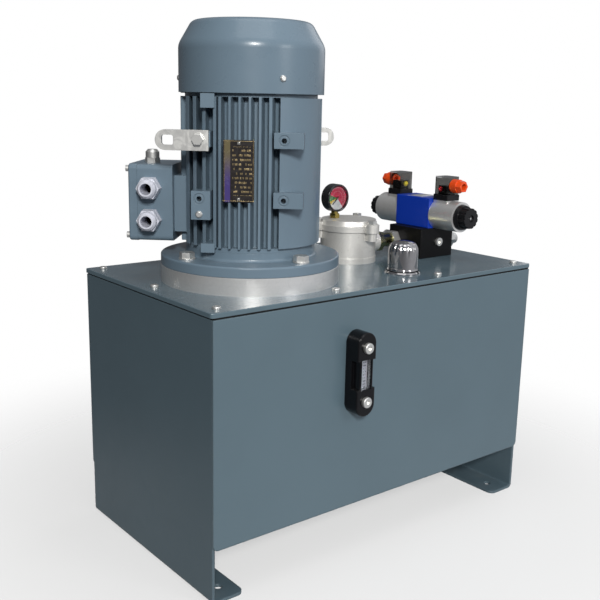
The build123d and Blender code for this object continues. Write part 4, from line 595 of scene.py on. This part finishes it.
bluePaint = {"colour": rgb(0.094, 0.142, 0.172), "edge": 0.0009, "wear": 0.16, "peel": 0.0016,
             "dust": 0.16, "depth": 0.00002, "coat": 0.12, "roughness": (0.30, 0.36)}
motorBlue = rgb(0.128, 0.183, 0.232)
zinc = {"colour": rgb(0.70, 0.70, 0.68), "dark": rgb(0.55, 0.55, 0.53), "pitch": 0.0009,
        "depth": 0.000001, "roughness": (0.36, 0.46), "metallic": 0.85}
steel = {"colour": rgb(0.52, 0.52, 0.51), "pitch": 0.0012, "depth": 0.000001,
         "roughness": (0.2, 0.35)}
alloy = {"colour": rgb(0.80, 0.80, 0.79), "pitch": 0.0016, "depth": 0.0000006,
         "roughness": (0.33, 0.38), "metallic": 0.7, "edge": 0.0}
finishes = {
    "tank_paint": paintFinish("tankPaint", bluePaint),
    "motor_paint": paintFinish("motorPaint", {
        **bluePaint, "colour": motorBlue, "roughness": (0.32, 0.38), "grain": 0.0016,
        "grainDepth": 0.00004}),
    "inner_steel": metalFinish("innerSteel", {
        **steel, "stretch": (0.05, 1, 1), "roughness": (0.3, 0.5)}),
    "gasket_rubber": plasticFinish("gasketRubber", {
        "colour": rgb(0.006, 0.006, 0.006), "worn": rgb(0.01, 0.01, 0.01), "dust": 0.02,
        "roughness": (0.6, 0.75), "specular": 0.2}),
    "zinc_steel": metalFinish("zincPlate", zinc),
    "machined_aluminium": metalFinish("turnedAluminium", {
        **alloy, "axis": "Z", "middle": motor["middle"]}),
    "cast_aluminium": metalFinish("castAluminium", {
        "colour": rgb(0.66, 0.65, 0.62), "grain": 0.0016, "depth": 0.00003,
        "roughness": (0.4, 0.5), "metallic": 0.55, "smudge": 0.03}),
    "chrome": metalFinish("chromePlate", {
        "colour": rgb(0.46, 0.45, 0.45), "dark": rgb(0.36, 0.35, 0.35), "pitch": 0.004,
        "depth": 0.0000005, "roughness": (0.05, 0.12)}),
    "laminated_steel": makeLayers("laminatedSteel", {
        "colour": rgb(0.3, 0.29, 0.28), "pitch": 0.0005, "depth": 0.00008, "rough": 0.4,
        "metallic": 0.9, "coat": 0.0}),
    "copper_winding": makeLayers("varnishedCopper", {
        "colour": rgb(0.5, 0.17, 0.05), "pitch": 0.0009, "depth": 0.0003, "rough": 0.3,
        "metallic": 0.6, "coat": 0.6}),
    "nameplate_black": makeNameplate(),
    "fan_plastic": plasticFinish("fanPlastic", {
        "colour": rgb(0.02, 0.02, 0.021), "roughness": (0.4, 0.55)}),
    "gland_plastic": makeGlands(),
    "spider_plastic": plasticFinish("spiderRubber", {
        "colour": rgb(0.42, 0.03, 0.02), "roughness": (0.35, 0.5)}),
    "pump_aluminium": metalFinish("pumpAluminium", {
        **alloy, "stretch": (1, 1, 0.04), "roughness": (0.3, 0.44)}),
    "tube_steel": metalFinish("tubeSteel", {**steel, "stretch": (1, 1, 0.05)}),
    # the dark colours of the woven finishes are painted shade between the threads
    "strainer_mesh": makeWoven("strainerMesh", {
        "colour": rgb(0.6, 0.58, 0.5), "dark": rgb(0.05, 0.05, 0.04), "thread": 0.0012,
        "depth": 0.0002, "rough": 0.45, "metallic": 0.9}),
    "filter_paper": makeWoven("filterPaper", {
        "colour": rgb(0.62, 0.54, 0.33), "dark": rgb(0.4, 0.33, 0.18), "thread": 0.003,
        "depth": 0.0003, "rough": 0.9, "metallic": 0.0}),
    "gauge_black": makeGaugeCase(),
    "gauge_dial": makeDial(),
    "black_plastic": plasticFinish("blackPlastic", {
        "colour": rgb(0.006, 0.006, 0.007), "worn": rgb(0.03, 0.03, 0.03), "dust": 0.05,
        "roughness": (0.28, 0.4), "specular": 0.3}),
    "clear_window": clearFinish("clearWindow", {
        "colour": rgb(0.93, 0.95, 0.96), "roughness": (0.02, 0.05), "ior": 1.18}),
    "scale_white": makeScale(),
    "manifold_black": plasticFinish("manifoldBlack", {
        "colour": rgb(0.005, 0.005, 0.0055), "worn": rgb(0.03, 0.03, 0.03), "dust": 0.03,
        "grain": 0.001, "depth": 0.00001, "roughness": (0.34, 0.44), "specular": 0.12}),
    "passivated_steel": metalFinish("olivePassivate", {
        **steel, "colour": rgb(0.36, 0.33, 0.16), "dark": rgb(0.20, 0.20, 0.10)}),
    "valve_blue": paintFinish("valveBlue", {
        **bluePaint, "colour": rgb(0.003, 0.035, 0.36), "under": rgb(0.1, 0.1, 0.2),
        "peel": 0.0011, "wear": 0.1, "dust": 0.05, "roughness": (0.3, 0.4)}),
    "coil_steel": metalFinish("coilSteel", {
        **alloy, "axis": "Y", "middle": tuple(coilMiddle), "pitch": 0.0018,
        "roughness": (0.32, 0.38)}),
    "smoke_clear": clearFinish("smokeClear", {
        "colour": rgb(0.80, 0.79, 0.75), "roughness": (0.03, 0.08), "ior": 1.2}),
    "orange_plastic": plasticFinish("orangePlastic", {
        "colour": rgb(0.80, 0.075, 0.008), "worn": rgb(0.9, 0.2, 0.06), "dust": 0.05,
        "roughness": (0.25, 0.4)}),
    "ground_steel": metalFinish("groundSteel", {
        **steel, "axis": "Z", "middle": motor["middle"]}),
}

# Nodes whose finish differs a little from their material's
glossBlack = plasticFinish("gaugeBody", {
    "colour": rgb(0.004, 0.004, 0.005), "worn": rgb(0.02, 0.02, 0.02), "dust": 0.03,
    "edge": 0.0012, "depth": 0.000006, "roughness": (0.16, 0.24), "specular": 0.22})
tankSkin = paintFinish("tankSkin", {**bluePaint, "edge": 0.003, "wear": 0.1})
# End plates: the blue paint darkened to 0.82 of its colour, painted shade for the weaker light on the
# tank's ends
endSkinPaintedShade = paintFinish("endSkinPaintedShade", {
    **bluePaint, "colour": shade(bluePaint["colour"], 0.82), "edge": 0.003, "wear": 0.1})
glossLid = paintFinish("lidPaint", {**bluePaint, "roughness": (0.16, 0.22), "coat": 0.2})
coverPaint = paintFinish("coverPaint", {
    **bluePaint, "colour": motorBlue, "roughness": (0.27, 0.32)})
ownFinish = {
    "level_gauge_body": glossBlack, "lid": glossLid, "fan_cover": coverPaint,
    "end_plate_left": endSkinPaintedShade, "end_plate_right": endSkinPaintedShade,
    "front_panel": tankSkin, "rear_panel": tankSkin,
}


def dressFrame():
    slotOf = {part["node"]: part["material_slot"] for part in frame["record"]["subparts"]}
    for name, item in frame["nodes"].items():
        finish = ownFinish.get(name, finishes[slotOf[name]])
        item.data.materials.clear()
        item.data.materials.append(finish)


dressFrame()
print("finishes on", len(frame["nodes"]), "nodes")


# Added pieces: surfaces on a grid
def surfacePiece(name, points, body, finish, closedRound=True, sharp=35.0):
    # Quads between neighbouring rows and columns of a rows x columns x 3 array; poles merge to
    # a point.
    rows, columns = points.shape[:2]
    index = np.arange(rows * columns).reshape(rows, columns)
    if closedRound:
        index = np.concatenate([index, index[:, :1]], axis=1)
    corners = [index[:-1, :-1], index[:-1, 1:], index[1:, 1:], index[1:, :-1]]
    quads = np.stack(corners, axis=-1).reshape(-1, 4)
    mesh = bpy.data.meshes.new(name)
    mesh.from_pydata(points.reshape(-1, 3).tolist(), [], quads.tolist())
    shape = bmesh.new()
    shape.from_mesh(mesh)
    bmesh.ops.remove_doubles(shape, verts=shape.verts, dist=1e-6)
    bmesh.ops.recalc_face_normals(shape, faces=shape.faces)
    shape.to_mesh(mesh)
    shape.free()
    mesh.shade_smooth()
    mesh.set_sharp_from_angle(angle=math.radians(sharp))
    mesh.materials.append(finish)
    piece = bpy.data.objects.new(name, mesh)
    bpy.context.scene.collection.objects.link(piece)
    if body:
        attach(piece, body)
    return piece


def frameFor(direction):
    # Two directions square to the given one, and the one itself, as a 3 x 3 array.
    along = Vector(direction).normalized()
    side = Vector((0, 0, 1)) if abs(along.z) < 0.9 else Vector((1, 0, 0))
    first = along.cross(side).normalized()
    second = along.cross(first)
    return np.array([first, second, along])


def arcPoints(middle, radius, start, end, count=6):
    # Points on a circle arc, angles in degrees from the outward direction.
    angle = np.radians(np.linspace(start, end, count))
    return np.stack([middle[0] + radius * np.cos(angle),
                     middle[1] + radius * np.sin(angle)], axis=1)


def lathe(profile, middle, direction=(0, 0, 1), sides=64, swell=None):
    # Profile rows are (radius, height), carried round the direction as radius x (cos, sin).
    # swell(angle, height) may add to the radius.
    profile = np.asarray(profile, float)
    angle = np.linspace(0, 2 * np.pi, sides, endpoint=False)
    radius = np.repeat(profile[:, :1], sides, axis=1)
    height = np.repeat(profile[:, 1:2], sides, axis=1)
    if swell:
        radius = radius + swell(angle[None, :], height) * (radius > 1e-6)
    first, second, along = frameFor(direction)
    spokes = np.cos(angle)[:, None] * first + np.sin(angle)[:, None] * second
    return np.asarray(middle) + radius[..., None] * spokes[None] + height[..., None] * along


# Breather bell: straight side, rounded shoulder with pressed flutes, low dome; the inside is one
# wall further in.
breatherBell = {
    "foot": 0.0236, "side": 0.0225, "height": 0.0444, "wall": 0.0012,
    "bendAcross": 0.0085, "bendUp": 0.0128, "bendStart": 0.0155, "bendTo": 78,
    "flutes": 14, "fluteDepth": 0.0017, "fluteMiddle": 0.0345, "fluteReach": 0.0075,
}


def makeBreatherBell():
    look = breatherBell
    low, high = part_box("breather_cap")
    base = (breatherMiddle.x, breatherMiddle.y, low.z)

    def side(inset):
        # most of a quarter ellipse from the side up to the dome's edge, then a shallow parabola
        radius, top = look["side"] - inset, look["height"] - inset
        bend = np.radians(np.linspace(0, look["bendTo"], 22))
        across = radius - look["bendAcross"] * (1 - np.cos(bend))
        up = top - look["bendStart"] + look["bendUp"] * np.sin(bend)
        shoulder = np.stack([across, up], axis=1)
        inner = np.linspace(shoulder[-1, 0], 0.0, 14)[1:]
        rise = top - (top - shoulder[-1, 1]) * (inner / shoulder[-1, 0]) ** 2
        return np.concatenate([shoulder, np.stack([inner, rise], axis=1)])

    outside = side(0.0)
    inside = side(look["wall"])[::-1]
    # the rolled foot, from the inside round to the outside
    foot = [(look["side"] - look["wall"], 0.004), (look["side"] - look["wall"], 0.0003),
            (look["side"], 0.0), (look["foot"] - 0.0004, 0.0002), (look["foot"], 0.0009),
            (look["foot"] - 0.0003, 0.0018), (look["side"] + 0.0002, 0.0026), (look["side"], 0.0036)]
    climb = np.linspace(0.006, outside[0, 1] - 0.002, 8)
    straight = np.stack([np.full(8, look["side"]), climb], axis=1)
    profile = np.concatenate([inside, foot, straight, outside])

    def flutes(angle, height):
        # each flute is a cosine bump pressed in, fading above and below as a bell curve
        wave = np.maximum(0.0, np.cos(look["flutes"] * angle)) ** 1.5
        fade = np.exp(-((height - look["fluteMiddle"]) / look["fluteReach"]) ** 2)
        return -look["fluteDepth"] * wave * fade

    points = lathe(profile, base, sides=168, swell=flutes)
    piece = surfacePiece("breatherBell", points, "breather_cap", finishes["chrome"],
                         sharp=50.0)
    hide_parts("breather_cap")
    return piece


# Gauge glass: a thin lens with a low dome, held in the case in front of the needle.
gaugeGlass = {"radius": 0.0190, "thick": 0.0008, "dome": 0.0009, "behindFront": 0.0019}


def makeGaugeGlass():
    # the dome falls with the square of the distance from the middle
    look = gaugeGlass
    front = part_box("clogging_gauge_case")[0].y
    middle = (gaugeMiddle.x, front + look["behindFront"], gaugeMiddle.z)
    across = np.linspace(0.0, look["radius"], 12)
    dome = look["dome"] * (1 - (across / look["radius"]) ** 2)
    outer = np.stack([across, look["thick"] + dome], axis=1)
    inner = np.stack([across, dome], axis=1)[::-1]
    points = lathe(np.concatenate([outer, inner]), middle, (0, -1, 0), 72)
    return surfacePiece("gaugeGlass", points, "power_unit", finishes["clear_window"])


# Valve label: a thin aluminium plate with rounded corners on top of the valve.
valveLabel = {"across": 0.034, "along": 0.026, "thick": 0.0005, "corner": 0.0025,
              "bevel": 0.0001, "clear": 0.00002}


def roundedOutline(across, along, corner, steps=6):
    # Corner arcs joined in turn: each is the corner radius times (cos, sin) about its own centre.
    arcs = []
    for turn, (sx, sy) in enumerate([(1, 1), (-1, 1), (-1, -1), (1, -1)]):
        centre = (sx * (across / 2 - corner), sy * (along / 2 - corner))
        arcs.append(arcPoints(centre, corner, 90 * turn, 90 * turn + 90, steps))
    return np.concatenate(arcs)


def platePoints(outline, thick, bevel):
    # Rows from the middle of the underside, out to the edge, up and back to the middle of the top.
    rings = [(0.0, 0.0), (1.0, 0.0), (1.0, thick - bevel), (1.0 - bevel / 0.01, thick), (0.0, thick)]
    count = len(outline)
    return np.stack([np.column_stack([outline * scale, np.full(count, height)])
                     for scale, height in rings])


def makeValveLabel():
    look = valveLabel
    outline = roundedOutline(look["across"], look["along"], look["corner"])
    points = platePoints(outline, look["thick"], look["bevel"])
    low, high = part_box("valve_body")
    top = high.z + look["clear"]
    points = points + np.array([(low.x + high.x) / 2, (low.y + high.y) / 2, top])
    return surfacePiece("valveLabel", points, "power_unit", finishes["coil_steel"])


# Connector lamps: small domed caps on the inner blocks, seen through the smoky covers.
connectorLamps = {
    "radius": 0.0042, "height": 0.0022, "level": 0.4905 + 0.0085, "blockHalf": 0.0095,
    "blockFromEnd": 0.0155, "farAside": 0.001, "nearAside": 0.004,
    "yellow": rgb(0.75, 0.62, 0.02), "red": rgb(0.6, 0.02, 0.03),
}


def lampFinish(name, colour):
    return plasticFinish(name, {"colour": colour, "roughness": (0.2, 0.3), "dust": 0.0})


def makeLamp(name, place, direction, finish):
    # Profile: the flat back, then radius x cos against half the height x (1 + sin).
    look = connectorLamps
    bend = np.radians(np.linspace(0, 90, 9))
    rise = look["height"] * (0.5 + 0.5 * np.sin(bend))
    dome = np.stack([look["radius"] * np.cos(bend), rise], axis=1)
    profile = np.concatenate([[(0.0, 0.0), (look["radius"], 0.0)], dome])
    points = lathe(profile, place, direction, 32)
    return surfacePiece(name, points, "power_unit", finish)


def makeLamps():
    look = connectorLamps
    low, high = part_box("connector_bases")
    farY, nearY = high.y - look["blockFromEnd"], low.y + look["blockFromEnd"]
    middle = (low.x + high.x) / 2
    farPlace = (middle + look["farAside"], farY - look["blockHalf"], look["level"])
    nearPlace = (middle - look["blockHalf"], nearY + look["nearAside"], look["level"])
    makeLamp("farLamp", farPlace, (0, -1, 0), lampFinish("yellowLamp", look["yellow"]))
    makeLamp("nearLamp", nearPlace, (-1, 0, 0), lampFinish("redLamp", look["red"]))


makeBreatherBell()
makeGaugeGlass()
makeValveLabel()
makeLamps()
print("added pieces made")


# Floor, light and background
studio = {
    "floor": rgb(0.78, 0.78, 0.78), "floorRadius": 1.5, "floorAlpha": 0.5,
    "fadeFrom": 0.35, "fadeTo": 0.9,
    "sky": rgb(0.92, 0.94, 1.0), "skyStrength": 0.42, "mirrored": 1.3,
    "keyPlace": (-2.55, -3.92, 2.65), "keySize": 0.8, "keyPower": 235.0,
    "fillPlace": (0.6, -2.4, 1.2), "fillSize": 0.7, "fillPower": 10.0,
    "topPlace": (-0.25, -0.35, 2.3), "topSize": 1.3, "topPower": 9.0,
    "rimPlace": (2.1, 0.6, 1.3), "rimSize": 1.2, "rimPower": 5.0,
}


def makeFloor():
    # polar grid: rings spread as the power 1.5 of an even step; the floor fades out with distance
    steps = np.linspace(0, 1, 24) ** 1.5 * studio["floorRadius"]
    angle = np.linspace(0, 2 * np.pi, 96, endpoint=False)
    across = steps[:, None] * np.cos(angle)
    along = steps[:, None] * np.sin(angle)
    points = np.stack([across, along, np.full_like(across, -0.0002)], axis=-1)
    material, tree, shader, place = newFinish("studioFloor")
    far = put(tree, "VectorMath", {0: place}, operation="LENGTH").outputs["Value"]
    tone = noise(tree, place, 3.0, 3.0)
    colour = mixColour(tree, tone, shade(studio["floor"], 0.98), studio["floor"])
    fade = ramp(tree, far, studio["fadeFrom"], studio["fadeTo"], studio["floorAlpha"], 0.0)
    tree.links.new(colour, shader.inputs["Base Color"])
    tree.links.new(fade, shader.inputs["Alpha"])
    setPlain(shader, {"Roughness": 0.6, "Specular IOR Level": 0.2})
    floor = surfacePiece("studioFloor", points, None, material)


def makeLight(name, place, size, power, colour=(1.0, 1.0, 1.0)):
    data = bpy.data.lights.new(name, "AREA")
    data.size = size
    data.energy = power
    data.color = colour
    lamp = bpy.data.objects.new(name, data)
    bpy.context.scene.collection.objects.link(lamp)
    aim = Vector((0.0, 0.0, 0.35)) - Vector(place)
    lamp.matrix_world = Matrix.Translation(place) @ aim.to_track_quat("-Z", "Y").to_matrix().to_4x4()


def makeWorld():
    # seen directly, the background is white; as light it is a softer sky, dimmer towards the
    # left, the back and below, and stronger in reflections
    world = bpy.data.worlds.new("studio")
    world.use_nodes = True
    bpy.context.scene.world = world
    tree = world.node_tree
    direction = put(tree, "TexCoord").outputs["Generated"]
    x, y, z = put(tree, "SeparateXYZ", {0: direction}).outputs
    upward = ramp(tree, z, -0.1, 0.9, 0.6, 1.0)
    right = ramp(tree, x, -0.9, 0.5, 0.4, 1.0)
    front = ramp(tree, y, -0.3, 0.6, 1.0, 0.25)
    rays = put(tree, "LightPath").outputs
    level = maths(tree, "MULTIPLY", upward, maths(tree, "MULTIPLY", right, front))
    level = maths(tree, "MULTIPLY", level, studio["skyStrength"])
    boost = maths(tree, "MULTIPLY_ADD", rays["Is Glossy Ray"], studio["mirrored"], 1.0)
    level = maths(tree, "MULTIPLY", level, boost)
    seen = rays["Is Camera Ray"]
    colour = mixColour(tree, seen, studio["sky"], rgb(1.0, 1.0, 1.0))
    strength = maths(tree, "MAXIMUM", level, seen)
    background = tree.nodes["Background"]
    tree.links.new(colour, background.inputs["Color"])
    tree.links.new(strength, background.inputs["Strength"])


makeFloor()
makeWorld()
makeLight("key", studio["keyPlace"], studio["keySize"], studio["keyPower"], (1.0, 0.98, 0.95))
makeLight("fill", studio["fillPlace"], studio["fillSize"], studio["fillPower"])
makeLight("top", studio["topPlace"], studio["topSize"], studio["topPower"])
makeLight("rim", studio["rimPlace"], studio["rimSize"], studio["rimPower"], (0.95, 0.97, 1.0))
bpy.context.scene.view_settings.view_transform = "Standard"
print("studio ready")
